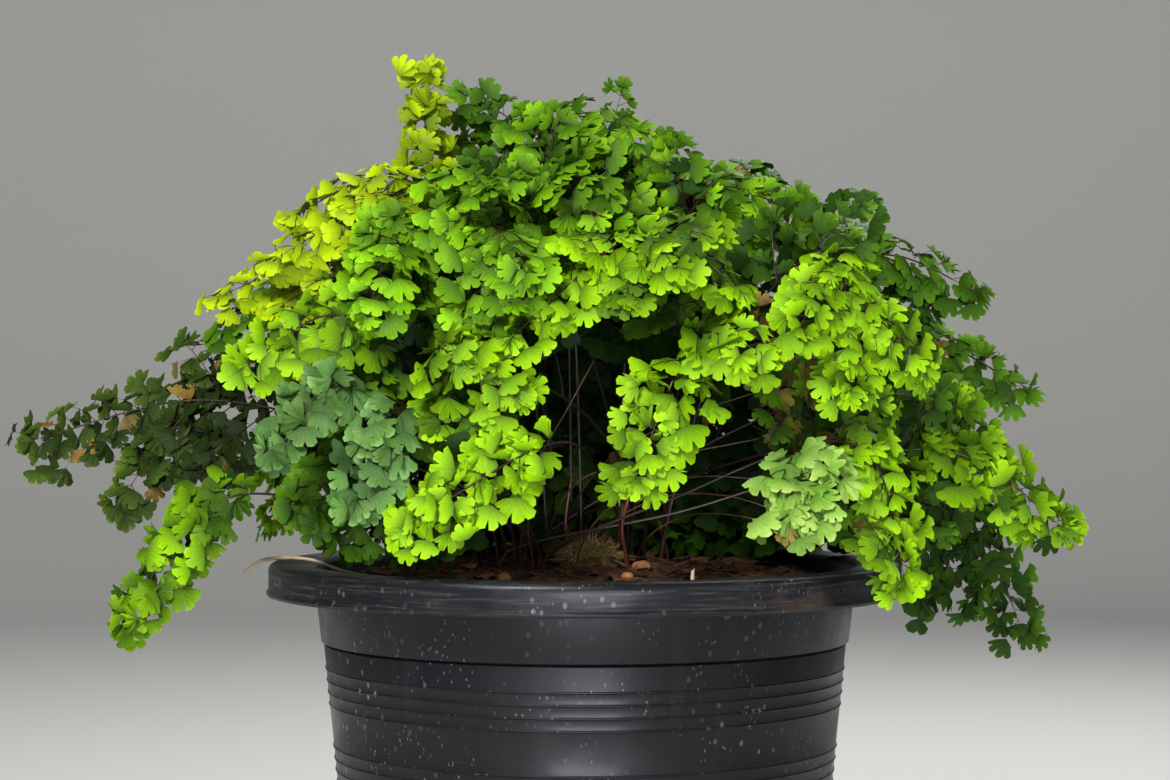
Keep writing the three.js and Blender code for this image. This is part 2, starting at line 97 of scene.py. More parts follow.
def tidyMesh(piece):
    makeActive(piece)
    bpy.ops.object.mode_set(mode="EDIT")
    bpy.ops.mesh.select_all(action="SELECT")
    bpy.ops.mesh.remove_doubles(threshold=1e-6)
    bpy.ops.mesh.normals_make_consistent(inside=False)
    bpy.ops.object.mode_set(mode="OBJECT")


def meshFrom(name, verts, faces):
    mesh = bpy.data.meshes.new(name)
    mesh.from_pydata(np.asarray(verts).tolist(), [], faces)
    piece = bpy.data.objects.new(name, mesh)
    bpy.context.scene.collection.objects.link(piece)
    return piece


def joinParts(name, parts):  # one mesh of many (points in millimetres, faces)
    faces = []
    start = 0
    for points, partFaces in parts:
        faces += [[start + i for i in face] for face in partFaces]
        start += len(points)
    return meshFrom(name, np.concatenate([points for points, _ in parts]) * mm, faces)


# Camera, floor and lights

cameraValues = {
    "distance": 1.245,
    "height": 0.3225,
    "lens": 80.9,
    "shiftY": 0.0043,
}

studio = {
    "floorColour": (0.72, 0.72, 0.7),
    "floorSize": 9.0,
    "wallAt": 2.6,
    "wallCurve": 0.9,
    "world": 0.19,
    "lights": [  # name, place, size, watts, colour
        ("keyLight", (-0.6, -1.5, 1.5), 0.6, 52, (1, 0.98, 0.92)),
        ("fillLight", (1.5, -1.3, 0.9), 1.2, 9, (1, 1, 1)),
        ("backLight", (0.5, 1.3, 1.5), 1.0, 16, (1, 1, 1)),
        ("lowLight", (0.05, -1.7, 0.12), 0.5, 4, (0.86, 0.88, 1)),
    ],
    "aim": (0.0, 0.0, 0.3),
    "band": {  # a low panel in front, whose light shows only as the soft gleam down the pot's wall
        "place": (0.0, -0.95, 0.07),
        "aim": (0.0, -0.12, 0.15),
        "size": (0.46, 0.12),
        "watts": 6.0,
        "colour": (0.86, 0.88, 1),
    },
}


def setCamera():
    data = bpy.data.cameras.new("camera")
    data.lens = cameraValues["lens"]
    data.sensor_width = 36
    data.shift_y = cameraValues["shiftY"]
    data.clip_end = 30
    camera = bpy.data.objects.new("camera", data)
    camera.location = (0, -cameraValues["distance"], cameraValues["height"])
    camera.rotation_euler = (math.radians(90), 0, 0)
    bpy.context.scene.collection.objects.link(camera)
    bpy.context.scene.camera = camera


def makeFloor():
    size = studio["floorSize"]
    wallAt = studio["wallAt"]
    curve = studio["wallCurve"]
    clearSelection()
    bpy.ops.mesh.primitive_grid_add(x_subdivisions=2, y_subdivisions=60, size=size)
    floor = bpy.context.object

    def bendUp(point):  # the far end of the sheet curves up into a wall
        past = point.y - wallAt
        if past <= 0:
            return point
        turn = min(past / curve, math.pi / 2)
        climb = max(0.0, past - curve * math.pi / 2)
        return Vector((point.x, wallAt + curve * math.sin(turn), curve * (1 - math.cos(turn)) + climb))

    moveVerts(floor, bendUp)
    floor.name = "floor"
    material = bpy.data.materials.new("floorPaper")
    material.use_nodes = True
    shader = material.node_tree.nodes["Principled BSDF"]
    shader.inputs["Base Color"].default_value = (*studio["floorColour"], 1)
    shader.inputs["Roughness"].default_value = 0.9
    floor.data.materials.append(material)
    makeActive(floor)
    bpy.ops.object.shade_smooth()


def setLight(name, shape, place, aim, watts, colour):
    data = bpy.data.lights.new(name, "AREA")
    data.shape = shape
    data.energy = watts
    data.color = colour
    light = bpy.data.objects.new(name, data)
    light.location = place
    light.rotation_euler = (Vector(aim) - light.location).to_track_quat("-Z", "Y").to_euler()
    bpy.context.scene.collection.objects.link(light)
    return light


def setLights():
    for name, place, size, watts, colour in studio["lights"]:
        setLight(name, "DISK", place, studio["aim"], watts, colour).data.size = size
    band = studio["band"]
    light = setLight("bandLight", "RECTANGLE", band["place"], band["aim"], band["watts"], band["colour"])
    light.data.size, light.data.size_y = band["size"]
    light.visible_diffuse = False
    light.visible_camera = False
    world = bpy.data.worlds.new("softDaylight")
    world.use_nodes = True
    world.node_tree.nodes["Background"].inputs["Color"].default_value = (0.95, 0.98, 1, 1)
    world.node_tree.nodes["Background"].inputs["Strength"].default_value = studio["world"]
    bpy.context.scene.world = world
    bpy.context.scene.view_settings.view_transform = "Standard"


print("camera, floor and lights")
setCamera()
makeFloor()
setLights()


# Materials

def paint(red, green, blue):  # a screen colour from 0 to 255, as the linear values that shaders take
    shares = [value / 255 for value in (red, green, blue)]
    return (*[s / 12.92 if s <= 0.04045 else ((s + 0.055) / 1.055) ** 2.4 for s in shares], 1)


class Finish:  # a material and short ways to add to its nodes

    def __init__(self, name, roughness, **sockets):
        self.material = bpy.data.materials.new(name)
        self.material.use_nodes = True
        self.tree = self.material.node_tree
        self.shader = self.tree.nodes["Principled BSDF"]
        self.shader.inputs["Roughness"].default_value = roughness
        for socket, value in sockets.items():
            self.shader.inputs[socket.replace("_", " ")].default_value = value
        self.coords = self.add("ShaderNodeTexCoord")

    def add(self, kind, links=None, values=None, **settings):
        node = self.tree.nodes.new(kind)
        for name, value in settings.items():
            setattr(node, name, value)
        for name, value in (values or {}).items():
            node.inputs[name].default_value = value
        for name, source in (links or {}).items():
            self.tree.links.new(source, node.inputs[name])
        return node

    def feed(self, socket, source):
        self.tree.links.new(source, self.shader.inputs[socket])

    def give(self, sockets, values):  # each value is a number, a colour or what another node puts out
        for socket, value in zip(sockets, values):
            if isinstance(value, bpy.types.NodeSocket):
                self.tree.links.new(value, socket)
            else:
                socket.default_value = value

    def places(self, stretch):
        places = self.coords.outputs["Object"]
        if stretch:
            return self.add("ShaderNodeMapping", {"Vector": places}, {"Scale": stretch}).outputs["Vector"]
        return places

    def axis(self, letter):
        return self.add("ShaderNodeSeparateXYZ", {"Vector": self.places(None)}).outputs[letter]

    def noise(self, scale, detail=3, stretch=None, roughness=0.55):
        values = {"Scale": scale, "Detail": detail, "Roughness": roughness}
        return self.add("ShaderNodeTexNoise", {"Vector": self.places(stretch)}, values).outputs["Fac"]

    def specks(self, scale, stretch):
        node = self.add("ShaderNodeTexVoronoi", {"Vector": self.places(stretch)}, {"Scale": scale})
        return node.outputs["Distance"]

    def ramp(self, source, *stops):  # stops are (place, colour or grey)
        node = self.add("ShaderNodeValToRGB", {"Fac": source})
        while len(node.color_ramp.elements) < len(stops):
            node.color_ramp.elements.new(1)
        for element, (place, colour) in zip(node.color_ramp.elements, stops):
            element.position = place
            element.color = colour if isinstance(colour, tuple) else (colour, colour, colour, 1)
        return node.outputs["Color"]

    def mix(self, factor, first, second):
        node = self.add("ShaderNodeMix", data_type="RGBA")
        self.give((node.inputs[0], node.inputs[6], node.inputs[7]), (factor, first, second))
        return node.outputs[2]

    def maths(self, operation, first, second=0.0):
        node = self.add("ShaderNodeMath", operation=operation)
        self.give(node.inputs, (first, second))
        return node.outputs[0]

    def times(self, first, second):
        return self.maths("MULTIPLY", first, second)

    def bump(self, height, strength, distance):
        last = self.shader.inputs["Normal"]
        links = {"Height": height}
        if last.links:
            links["Normal"] = last.links[0].from_socket
        node = self.add("ShaderNodeBump", links, {"Strength": strength, "Distance": distance})
        self.feed("Normal", node.outputs["Normal"])


def plasticFinish():
    look = Finish("potPlastic", 0.4, Specular_IOR_Level=0.2, Coat_Weight=0.05, Coat_Roughness=0.16)
    cloudy = look.ramp(look.noise(9, 4), (0.35, paint(11, 11, 15)), (0.7, paint(22, 22, 28)))
    streaks = look.ramp(look.noise(60, 3, (1, 1, 0.08)), (0.55, 0.0), (0.78, 0.3))
    dusty = look.mix(streaks, cloudy, paint(50, 50, 55))
    # dried drops leave pale rings and flecks, thicker in some places than in others
    patches = look.ramp(look.noise(14, 2), (0.42, 0.0), (0.62, 1.0))
    rings = look.ramp(look.specks(190, (1, 1, 0.7)), (0.06, 0.9), (0.12, 0.3), (0.16, 0.7), (0.2, 0.0))
    flecks = look.ramp(look.specks(430, (1, 1, 0.6)), (0.1, 0.8), (0.22, 0.0))
    thin = look.ramp(look.noise(34, 3), (0.5, 0.0), (0.64, 1.0))
    dust = look.maths("ADD", look.times(rings, patches), look.times(flecks, thin))
    specked = look.mix(look.times(dust, 0.42), dusty, paint(168, 170, 176))
    # the rim is rubbed and scratched along its run, and painted lighter there: partly real wear, partly a
    # painted highlight
    height = look.axis("Z")
    onRim = look.ramp(look.times(height, 4), (0.91, 0.0), (0.925, 1.0))
    scratchesAndSheen = look.ramp(look.noise(38, 5, (1, 1, 22), 0.7), (0.5, 0.0), (0.62, 0.14), (0.76, 0.6))
    specked = look.mix(look.times(scratchesAndSheen, onRim), specked, paint(104, 106, 108))
    # brownish dirt low on the wall and under the rim
    lowDown = look.ramp(look.times(height, 4), (0.1, 1.0), (0.75, 0.0))
    dirt = look.ramp(look.noise(22, 5), (0.55, 0.0), (0.68, 0.6))
    east = look.axis("X")
    toRight = look.ramp(look.times(east, 8), (0.3, 0.15), (0.6, 1.0))
    soiled = look.times(dirt, look.maths("MAXIMUM", lowDown, look.times(onRim, 0.5)))
    dirty = look.mix(look.times(soiled, toRight), specked, paint(104, 84, 64))
    look.feed("Base Color", dirty)
    look.feed("Roughness", look.ramp(look.noise(32, 4), (0.3, 0.3), (0.75, 0.54)))
    look.bump(look.noise(420, 2), 0.12, 0.2 * mm)
    look.bump(look.noise(26, 2, (1, 1, 0.15)), 0.1, 0.6 * mm)
    return look.material


def soilFinish():
    look = Finish("soilCompost", 0.92, Specular_IOR_Level=0.25)
    grains = look.ramp(look.noise(240, 6, None, 0.7), (0.35, paint(22, 14, 9)), (0.52, paint(48, 31, 20)),
                       (0.68, paint(88, 56, 34)))
    fibres = look.ramp(look.noise(130, 3, (1, 0.18, 1)), (0.56, 0.0), (0.68, 0.8))
    look.feed("Base Color", look.mix(fibres, grains, paint(96, 58, 36)))
    look.bump(look.noise(300, 5), 0.8, 0.8 * mm)
    look.bump(look.noise(90, 4, (0.3, 1, 1)), 0.6, 1.2 * mm)
    return look.material


def litterFinish(name, dark, light, scale):
    look = Finish(name, 0.8, Specular_IOR_Level=0.3)
    grain = look.ramp(look.noise(scale, 5, (1, 1, 0.4)), (0.3, dark), (0.7, light))
    own = look.add("ShaderNodeAttribute", attribute_name="pieceShade").outputs["Fac"]
    look.feed("Base Color", look.mix(own, grain, dark))
    look.bump(look.noise(scale * 2.5, 4), 0.5, 0.3 * mm)
    return look.material


def stalkFinish(name, dark, warm, roughness):
    look = Finish(name, roughness, Specular_IOR_Level=0.4)
    look.feed("Base Color", look.ramp(look.noise(55, 3), (0.4, dark), (0.68, warm)))
    look.bump(look.noise(500, 2, (1, 1, 0.2)), 0.15, 0.1 * mm)
    return look.material


def leafFinish(name, shade, bright, edge, bloom=None):
    look = Finish(name, 0.55, Specular_IOR_Level=0.11)
    own = look.add("ShaderNodeAttribute", attribute_name="leafTone")
    parts = look.add("ShaderNodeSeparateColor", {"Color": own.outputs["Color"]})
    shadeOfIt, age, tip = [parts.outputs[k] for k in ("Red", "Green", "Blue")]
    flat = look.add("ShaderNodeUVMap", uv_map="leafFlat").outputs["UV"]
    spread = look.add("ShaderNodeSeparateXYZ", {"Vector": flat})
    across = look.maths("SUBTRACT", spread.outputs["X"], 0.5)
    out = spread.outputs["Y"]
    angle = look.maths("ARCTAN2", across, look.maths("ADD", out, 0.06))
    # veins fan out from the leaflet's stalk and fork on the way
    wobble = look.times(look.noise(260, 2), 1.6)
    few = look.maths("SINE", look.maths("ADD", look.times(angle, 26), wobble))
    many = look.maths("SINE", look.maths("ADD", look.times(angle, 52), wobble))
    veins = look.mix(look.ramp(out, (0.4, 0.0), (0.6, 1.0)), few, many)
    lines = look.ramp(veins, (0.55, 0.0), (0.95, 1.0))
    tone = look.mix(shadeOfIt, shade, bright)
    patches = look.ramp(look.noise(70, 3), (0.4, 0.0), (0.75, 0.5))
    patchy = look.mix(look.times(patches, shadeOfIt), tone, edge)
    veined = look.mix(look.times(look.times(lines, 0.2), shadeOfIt), patchy, edge)
    outer = look.times(out, look.maths("ADD", 0.9, look.times(tip, 0.12)))
    rim = look.ramp(outer, (0.66, 0.0), (0.94, 0.72))
    edged = look.mix(look.times(rim, shadeOfIt), veined, edge)
    # painted shade: the base of each leaflet is painted darker, as shade falls where it folds to its stalk
    baseShaded = look.mix(look.ramp(out, (0.0, 0.8), (0.6, 0.0)), edged, shade)
    if bloom:
        baseShaded = look.mix(look.ramp(look.noise(38, 3), (0.4, 0.0), (0.7, 0.5)), baseShaded, bloom)
    withered = look.ramp(look.noise(120, 4), (0.35, paint(84, 60, 28)), (0.65, paint(150, 122, 60)))
    look.feed("Base Color", look.mix(age, baseShaded, withered))
    look.feed("Roughness", look.ramp(look.noise(150, 2), (0.3, 0.46), (0.7, 0.7)))
    look.bump(veins, 0.3, 0.14 * mm)
    look.bump(look.noise(170, 3), 0.6, 0.5 * mm)
    return look.material


print("materials")
leafPaints = {  # deep in the shade, in full light, at the rim, and the bloom on some
    "lime": ((26, 58, 2), (130, 184, 4), (164, 210, 18)),
    "fresh": ((20, 52, 2), (116, 174, 5), (150, 206, 26)),
    "yellow": ((62, 90, 2), (160, 190, 3), (190, 212, 14)),
    # painted shade: deep is a darker copy of the green, for leaflets inside and behind the plant
    "deep": ((20, 48, 2), (72, 118, 6), (96, 142, 18)),
    "dull": ((18, 34, 6), (62, 92, 20), (110, 124, 40)),
    "blue": ((20, 48, 8), (78, 122, 40), (150, 192, 116), (104, 148, 88)),
    "pale": ((58, 100, 24), (128, 176, 60), (206, 224, 132), (150, 190, 104)),
}
leafTones = {tone: leafFinish("leaf" + tone.title(), *[paint(*colour) for colour in colours])
             for tone, colours in leafPaints.items()}
stalkDark = stalkFinish("stalkDark", paint(24, 13, 11), paint(62, 32, 24), 0.42)
stalkRed = stalkFinish("stalkRed", paint(84, 34, 26), paint(128, 58, 42), 0.35)
stalkDry = stalkFinish("stalkDry", paint(58, 34, 28), paint(112, 78, 62), 0.4)
strawDry = litterFinish("strawDry", paint(150, 134, 104), paint(222, 208, 178), 90)


# Pot

potValues = {
    "turns": 192,
    "height": 244,
    "rimRadius": 150,
    "rimSkirt": 14.5,
    "rimRound": 4.5,
    "wall": 2.5,
    "foot": 102.4,  # the outer radius that the wall's taper would have at the ground
    "taper": 0.1,
    "collarBase": 206,
    "collarStep": 1.6,
    "grooveDepth": 1.2,
    "collarRadii": (124.3, 126.7),
    "ridges": (195, 189.4, 183.8, 178.2, 158.6, 153, 147.4, 141.8, 60, 54.4, 48.8),
    "ridgeRise": 0.5,
    "ridgeHalf": 0.55,
    "channel": (62, 66, 86, 90),
    "channelHeight": 5,
    "footRadius": 99,
    "drainHoles": 8,
    "drainRadius": 5,
    "edgeRound": 0.45,
}


def wallRadius(z):
    return potValues["foot"] + potValues["taper"] * z


def potProfile():
    v = potValues
    wall = v["wall"]
    rimBase = v["height"] - v["rimSkirt"]
    low, high = v["collarRadii"]
    inIn, inOut, outIn, outOut = v["channel"]
    rise = v["channelHeight"]
    rim = v["rimRadius"]
    profile = [(inIn, 0), (inOut, rise), (outIn, rise), (outOut, 0), (v["footRadius"], 0)]
    profile.append((wallRadius(wall), wall))
    for z in sorted(v["ridges"]):  # fine moulded ridges that run round the wall
        for step, out in ((-1, 0), (-0.35, 1), (0.35, 1), (1, 0)):
            here = z + step * v["ridgeHalf"]
            profile.append((wallRadius(here) + out * v["ridgeRise"], here))
    base = v["collarBase"]
    profile += [
        (wallRadius(base), base),
        (wallRadius(base) - v["grooveDepth"], base + v["collarStep"] / 2),
        (low, base + v["collarStep"]),
        (high, rimBase),
        (high + wall, v["height"] - wall),
        (rim - 2 * wall, v["height"] - wall),
        (rim - wall, rimBase),
        (rim - 0.4, rimBase - 0.2),
        (rim, rimBase + 1.2),
        (rim - 1.1, rimBase + 2.4),  # a shallow step over the skirt's lower lip
    ]
    for i in range(7):  # the rim's outer edge is rounded over
        turn = math.radians(90 * i / 6)
        out = rim - v["rimRound"] + (v["rimRound"] - 1.1 * (1 - i / 6)) * math.cos(turn)
        profile.append((out, v["height"] - v["rimRound"] * (1 - math.sin(turn))))
    profile += [
        (high + v["rimRound"], v["height"] - 0.35),
        (high + v["rimRound"] / 3, v["height"] - 0.9),
        (high, v["height"] - v["rimRound"] / 2),
        (high - wall, rimBase),
        (low - wall, base + 2 * v["collarStep"]),
        (wallRadius(base) - wall, base),
        (wallRadius(0) - wall, wall),
        (outOut + 1, wall),
        (outIn + 1, rise + wall),
        (inOut - 1, rise + wall),
        (inIn - 1, wall),
    ]
    return profile


def turnProfile(profile, turns):  # rings of edges, each extruded from the last, with both poles closed
    clearSelection()
    first = profile[0]
    bpy.ops.mesh.primitive_circle_add(vertices=turns, radius=first[0] * mm, location=(0, 0, first[1] * mm),
                                      fill_type="TRIFAN")
    piece = bpy.context.object
    bpy.ops.object.transform_apply(location=True, rotation=False, scale=False)
    bpy.ops.object.mode_set(mode="EDIT")
    pick("edges", lambda edge: len(edge.link_faces) == 1)
    for (radius, z), (nextRadius, nextZ) in zip(profile, profile[1:]):
        bpy.ops.mesh.extrude_edges_move(TRANSFORM_OT_translate={"value": (0, 0, (nextZ - z) * mm)})
        size = nextRadius / radius
        bpy.ops.transform.resize(value=(size, size, 1), center_override=(0, 0, nextZ * mm))
    bpy.ops.mesh.extrude_edges_move(TRANSFORM_OT_translate={"value": (0, 0, 0)})
    bpy.ops.mesh.merge(type="CENTER")
    bpy.ops.object.mode_set(mode="OBJECT")
    tidyMesh(piece)
    return piece


def makePot():
    v = potValues
    pot = turnProfile(potProfile(), v["turns"])
    ring = (v["channel"][1] + v["channel"][2]) / 2 * mm
    for i in range(v["drainHoles"]):
        turn = (i + 0.5) / v["drainHoles"] * 2 * math.pi
        clearSelection()
        place = (ring * math.cos(turn), ring * math.sin(turn), v["channelHeight"] * mm)
        bpy.ops.mesh.primitive_cylinder_add(vertices=24, radius=v["drainRadius"] * mm, depth=20 * mm,
                                            location=place)
        drill = bpy.context.object
        useModifier(pot, "BOOLEAN", operation="DIFFERENCE", object=drill, solver="EXACT")
        bpy.data.objects.remove(drill)
    useModifier(pot, "BEVEL", width=v["edgeRound"] * mm, segments=2, limit_method="ANGLE",
                angle_limit=math.radians(32))
    finishPiece(pot, "nurseryPot", plasticFinish(), ["pot"], 35)


print("pot")
makePot()


# Soil, litter and what stands in it

soilValues = {
    "turns": 176,
    "rings": 64,
    "edge": 234,
    "crown": 245,
    "swell": 1.3,
    "lump": 0.6,
    "rough": 0.9,
    "fine": 0.45,
    "gap": 2.9,  # from the pot's outer face to the root ball
}


def soilHeight(x, y):
    v = soilValues
    share = math.hypot(x, y) / potValues["collarRadii"][0]
    mound = v["edge"] + (v["crown"] - v["edge"]) * (1 - share**2)
    swells = v["swell"] * math.sin(0.09 * x + 1.2) * math.cos(0.11 * y - 0.4)
    lumps = v["lump"] * math.sin(0.23 * x - 0.17 * y)
    return mound + (swells + lumps) * (1 - share**4)


def groundHeight(x, y):  # with the crumbs that the root ball's solid leaves out
    v = soilValues
    coarse = v["rough"] * noise.noise(Vector((x, y, 3)) * 0.16)
    fine = v["fine"] * noise.noise(Vector((x, y, 9)) * 0.55)
    return soilHeight(x, y) + (coarse + fine)


def makeSoil():
    v = soilValues
    low, high = potValues["collarRadii"]
    base = potValues["collarBase"]
    gap = v["gap"]
    edge = high - gap
    profile = [
        (potValues["channel"][0] - 2, gap),
        (potValues["channel"][1] - 2, gap + 5),
        (potValues["channel"][2] + 2, gap + 5),
        (potValues["channel"][3] + 2, gap),
        (wallRadius(0) - gap, gap),
        (wallRadius(base) - gap, base),
        (low - gap, base + 3.2),
        (edge, v["edge"] - 1),
    ]
    profile += [(edge * (1 - i / v["rings"]), v["edge"] + 0.01) for i in range(1, v["rings"])]
    soil = turnProfile(profile, v["turns"])

    def settle(point):
        if point.z < (v["edge"] - 0.5) * mm:
            return point
        return Vector((point.x, point.y, groundHeight(point.x / mm, point.y / mm) * mm))

    moveVerts(soil, settle)
    finishPiece(soil, "soilBall", soilFinish(), ["soil"], 60)


litterValues = {
    "seed": 11,
    "chips": 330,
    "chipSize": (2.2, 6.5),
    "fibres": 300,
    "fibreLength": (9, 30),
    "fibreRadius": 0.28,
    "leaves": 70,
    "spread": 119,
    "leafSpread": 104,
    "leafLift": 2.4,
    "leafSizes": (5, 8),
}


def shadePieces(piece, counts, shades):  # gives each small part of a piece its own shade
    layer = piece.data.attributes.new("pieceShade", "FLOAT", "POINT")
    layer.data.foreach_set("value", np.repeat(shades, counts).astype(np.float32))


def spotOn(draw, reach, share=1):  # a place on the soil, drawn evenly over a round of that reach
    far = reach * math.sqrt(draw.random()) * share
    turn = draw.uniform(0, 2 * math.pi)
    return far * math.cos(turn), far * math.sin(turn)


def chipForm():  # a split flake of bark: a cube drawn flat and cut slanting
    clearSelection()
    bpy.ops.mesh.primitive_cube_add(size=1)
    chip = bpy.context.object
    bpy.ops.object.mode_set(mode="EDIT")
    bpy.ops.mesh.select_all(action="SELECT")
    bpy.ops.mesh.subdivide(number_cuts=1)
    bpy.ops.mesh.select_all(action="SELECT")
    bpy.ops.mesh.bisect(plane_co=(0.3, 0, 0), plane_no=(1, 0.5, 0.4), clear_outer=True, use_fill=True)
    bpy.ops.object.mode_set(mode="OBJECT")

    def flatten(p):
        return Vector((p.x, p.y * 0.62, (p.z * 0.22 + 0.16 * p.x * p.x) * (1 - 0.4 * abs(p.y))))

    moveVerts(chip, flatten)
    tidyMesh(chip)
    verts = np.array([v.co[:] for v in chip.data.vertices])
    faces = [list(f.vertices) for f in chip.data.polygons]
    bpy.data.objects.remove(chip)
    return verts, faces


def makeChips(draw):
    form, faces = chipForm()
    parts = []
    for _ in range(litterValues["chips"]):
        x, y = spotOn(draw, litterValues["spread"])
        size = draw.uniform(*litterValues["chipSize"])
        turns = (("Z", draw.uniform(0, 6.3)), ("Y", draw.gauss(0, 0.2)), ("X", draw.gauss(0, 0.25)))
        spin, tilt, roll = [Matrix.Rotation(angle, 3, axis) for axis, angle in turns]
        place = np.array((x, y, groundHeight(x, y) + 0.12 * size))
        parts.append((form * size @ np.array(spin @ tilt @ roll).T + place, faces))
    chips = joinParts("barkChips", parts)
    shadePieces(chips, len(form), [draw.random() * 0.8 for _ in parts])
    material = litterFinish("barkBrown", paint(36, 22, 14), paint(120, 74, 42), 160)
    finishPiece(chips, "barkChips", material, ["soil"], 30)


def tubeAlong(points, radii, sides):  # a closed round tube through points, in millimetres
    points = [Vector(p) for p in points]
    rings = []
    side = Vector((0.31, 0.17, 0.93))
    for i, place in enumerate(points):
        ahead = (points[min(i + 1, len(points) - 1)] - points[max(i - 1, 0)]).normalized()
        side = (side - ahead * side.dot(ahead)).normalized()
        other = ahead.cross(side)
        for k in range(sides):
            turn = 2 * math.pi * k / sides
            rings.append(place + (side * math.cos(turn) + other * math.sin(turn)) * radii[i])
    faces = []
    for i in range(len(points) - 1):
        for k in range(sides):
            a, b = i * sides + k, i * sides + (k + 1) % sides
            faces.append([a, b, b + sides, a + sides])
    faces.append(list(range(sides))[::-1])
    faces.append([(len(points) - 1) * sides + k for k in range(sides)])
    return [tuple(p) for p in rings], faces


def makeFibres(draw):  # dead root hairs and bits of old stalk that lie about on the soil
    tubes = []
    for _ in range(litterValues["fibres"]):
        x, y = spotOn(draw, litterValues["spread"], 0.96)
        heading = draw.uniform(0, 2 * math.pi)
        step = draw.uniform(*litterValues["fibreLength"]) / 5
        lift = draw.uniform(0.2, 2.6)
        points = []
        for i in range(6):
            height = max(groundHeight(x, y) + 0.2, 0) + lift * math.sin(math.pi * i / 5)
            points.append((x, y, height))
            heading += draw.gauss(0, 0.45)
            x += step * math.cos(heading)
            y += step * math.sin(heading)
            if math.hypot(x, y) > litterValues["spread"]:
                x, y = x * 0.9, y * 0.9
        width = litterValues["fibreRadius"] * draw.uniform(0.5, 1.3)
        tubes.append(tubeAlong(points, [width * (1 - 0.12 * i) for i in range(6)], 4))
    fibres = joinParts("rootFibres", tubes)
    shadePieces(fibres, len(tubes[0][0]), [draw.random() * 0.9 for _ in tubes])
    material = litterFinish("fibreBrown", paint(58, 34, 22), paint(142, 96, 60), 60)
    finishPiece(fibres, "rootFibres", material, ["soil"])


mossValues = {
    "seed": 5,
    "place": (2, -34),
    "size": (16, 11, 12),
    "strands": 620,
    "strandLength": (4, 9),
}


def makeMoss():
    v = mossValues
    draw = random.Random(v["seed"])
    x0, y0 = v["place"]
    a, b, c = v["size"]
    z0 = soilHeight(x0, y0) + c / 4
    tubes = []
    for _ in range(v["strands"]):
        up = draw.uniform(0.02, 1)
        turn = draw.uniform(0, 2 * math.pi)
        flat = math.sqrt(1 - up * up)
        out = Vector((flat * math.cos(turn), flat * math.sin(turn), up))
        start = Vector((x0 + out.x * a * 0.8, y0 + out.y * b * 0.8, z0 + out.z * c * 0.62))
        drift = Vector((draw.gauss(0, 0.5), draw.gauss(0, 0.5), draw.gauss(0.1, 0.4)))
        curl = Vector((draw.gauss(0, 0.5), draw.gauss(0, 0.5), draw.gauss(-0.2, 0.5)))
        long = draw.uniform(*v["strandLength"]) * 0.5
        points = [start + (out + drift) * long * t + curl * long * t * t for t in (0, 0.33, 0.66, 1)]
        tubes.append(tubeAlong(points, [0.3, 0.26, 0.2, 0.08], 3))
    tuft = joinParts("mossTuft", tubes)
    shadePieces(tuft, len(tubes[0][0]), [draw.random() for _ in tubes])
    clearSelection()
    bpy.ops.mesh.primitive_uv_sphere_add(segments=40, ring_count=24, radius=1)
    heart = bpy.context.object

    def swell(p):
        lump = 0.86 + 0.18 * noise.noise(p * 2.3) + 0.08 * noise.noise(p * 7)
        return Vector((x0 + p.x * a * lump, y0 + p.y * b * lump, z0 - 1 + p.z * c * lump * 0.8)) * mm

    moveVerts(heart, swell)
    shadePieces(heart, 1, [0.75] * len(heart.data.vertices))
    material = litterFinish("mossDry", paint(92, 74, 38), paint(206, 184, 122), 140)
    finishPiece(heart, "mossHeart", material, ["moss"], 60)
    finishPiece(tuft, "mossTuft", material, ["moss"])


stoneValues = {  # place and half sizes of each bit of grit, as its solid has them
    "stone_1": (26, -46, 4.4, 3.4, 3),
    "stone_2": (19, -70, 3, 2.4, 2),
    "stone_3": (84, -62, 4.6, 3, 2.2),
    "stone_4": (-36, -74, 3.4, 3, 2.2),
}


def makeStones():
    material = litterFinish("gritTan", paint(96, 60, 34), paint(190, 138, 88), 210)
    for number, (node, (x, y, a, b, c)) in enumerate(stoneValues.items(), 1):
        clearSelection()
        bpy.ops.mesh.primitive_ico_sphere_add(subdivisions=4, radius=1)
        stone = bpy.context.object
        z = soilHeight(x, y) + c / 4
        shift = Vector((7.3 * number, 2.1, 4.4))

        def chisel(p):
            rough = 1 + 0.22 * noise.noise(p * 1.6 + shift) + 0.06 * noise.noise(p * 6 + shift)
            corner = 0.92 / max(abs(p.x), abs(p.y), abs(p.z), 0.8)
            size = rough * (0.55 + 0.45 * corner)
            return Vector((x + p.x * a * size, y + p.y * b * size, z + p.z * c * size)) * mm

        moveVerts(stone, chisel)
        shadePieces(stone, 1, [0.1 * number] * len(stone.data.vertices))
        finishPiece(stone, f"grit_{number}", material, [node], 50)


strawValues = {
    "route": [
        (-160, -6, 239),
        (-152, -9, 244.6),
        (-142, -12, 246),
        (-128, -20, 245.8),
        (-112, -34, 241.6),
        (-94, -50, 239.4),
    ],
    "radius": 1.0,
    "stub": (46, -98),
    "stubFoot": 226.5,
    "stubHeight": 9.5,
    "stubRadius": 0.85,
    "stubLean": 0.12,
}


def smoothPath(points, perSpan=8):  # a centripetal Catmull-Rom curve, as the solids' stalks follow
    points = [Vector(p) for p in points]
    points = [points[0] * 2 - points[1]] + points + [points[-1] * 2 - points[-2]]
    path = []
    for p0, p1, p2, p3 in zip(points, points[1:], points[2:], points[3:]):
        spans = ((p0, p1), (p1, p2), (p2, p3))
        before, here, after = [max(math.sqrt((b - a).length), 1e-3) for a, b in spans]
        leave = ((p1 - p0) / before - (p2 - p0) / (before + here) + (p2 - p1) / here) * here
        arrive = ((p2 - p1) / here - (p3 - p1) / (here + after) + (p3 - p2) / after) * here
        for i in range(perSpan):
            t = i / perSpan
            bend = p1 * -3 + p2 * 3 - leave * 2 - arrive
            turn = p1 * 2 - p2 * 2 + leave + arrive
            path.append(p1 + leave * t + bend * t * t + turn * t**3)
    path.append(points[-2])
    return path


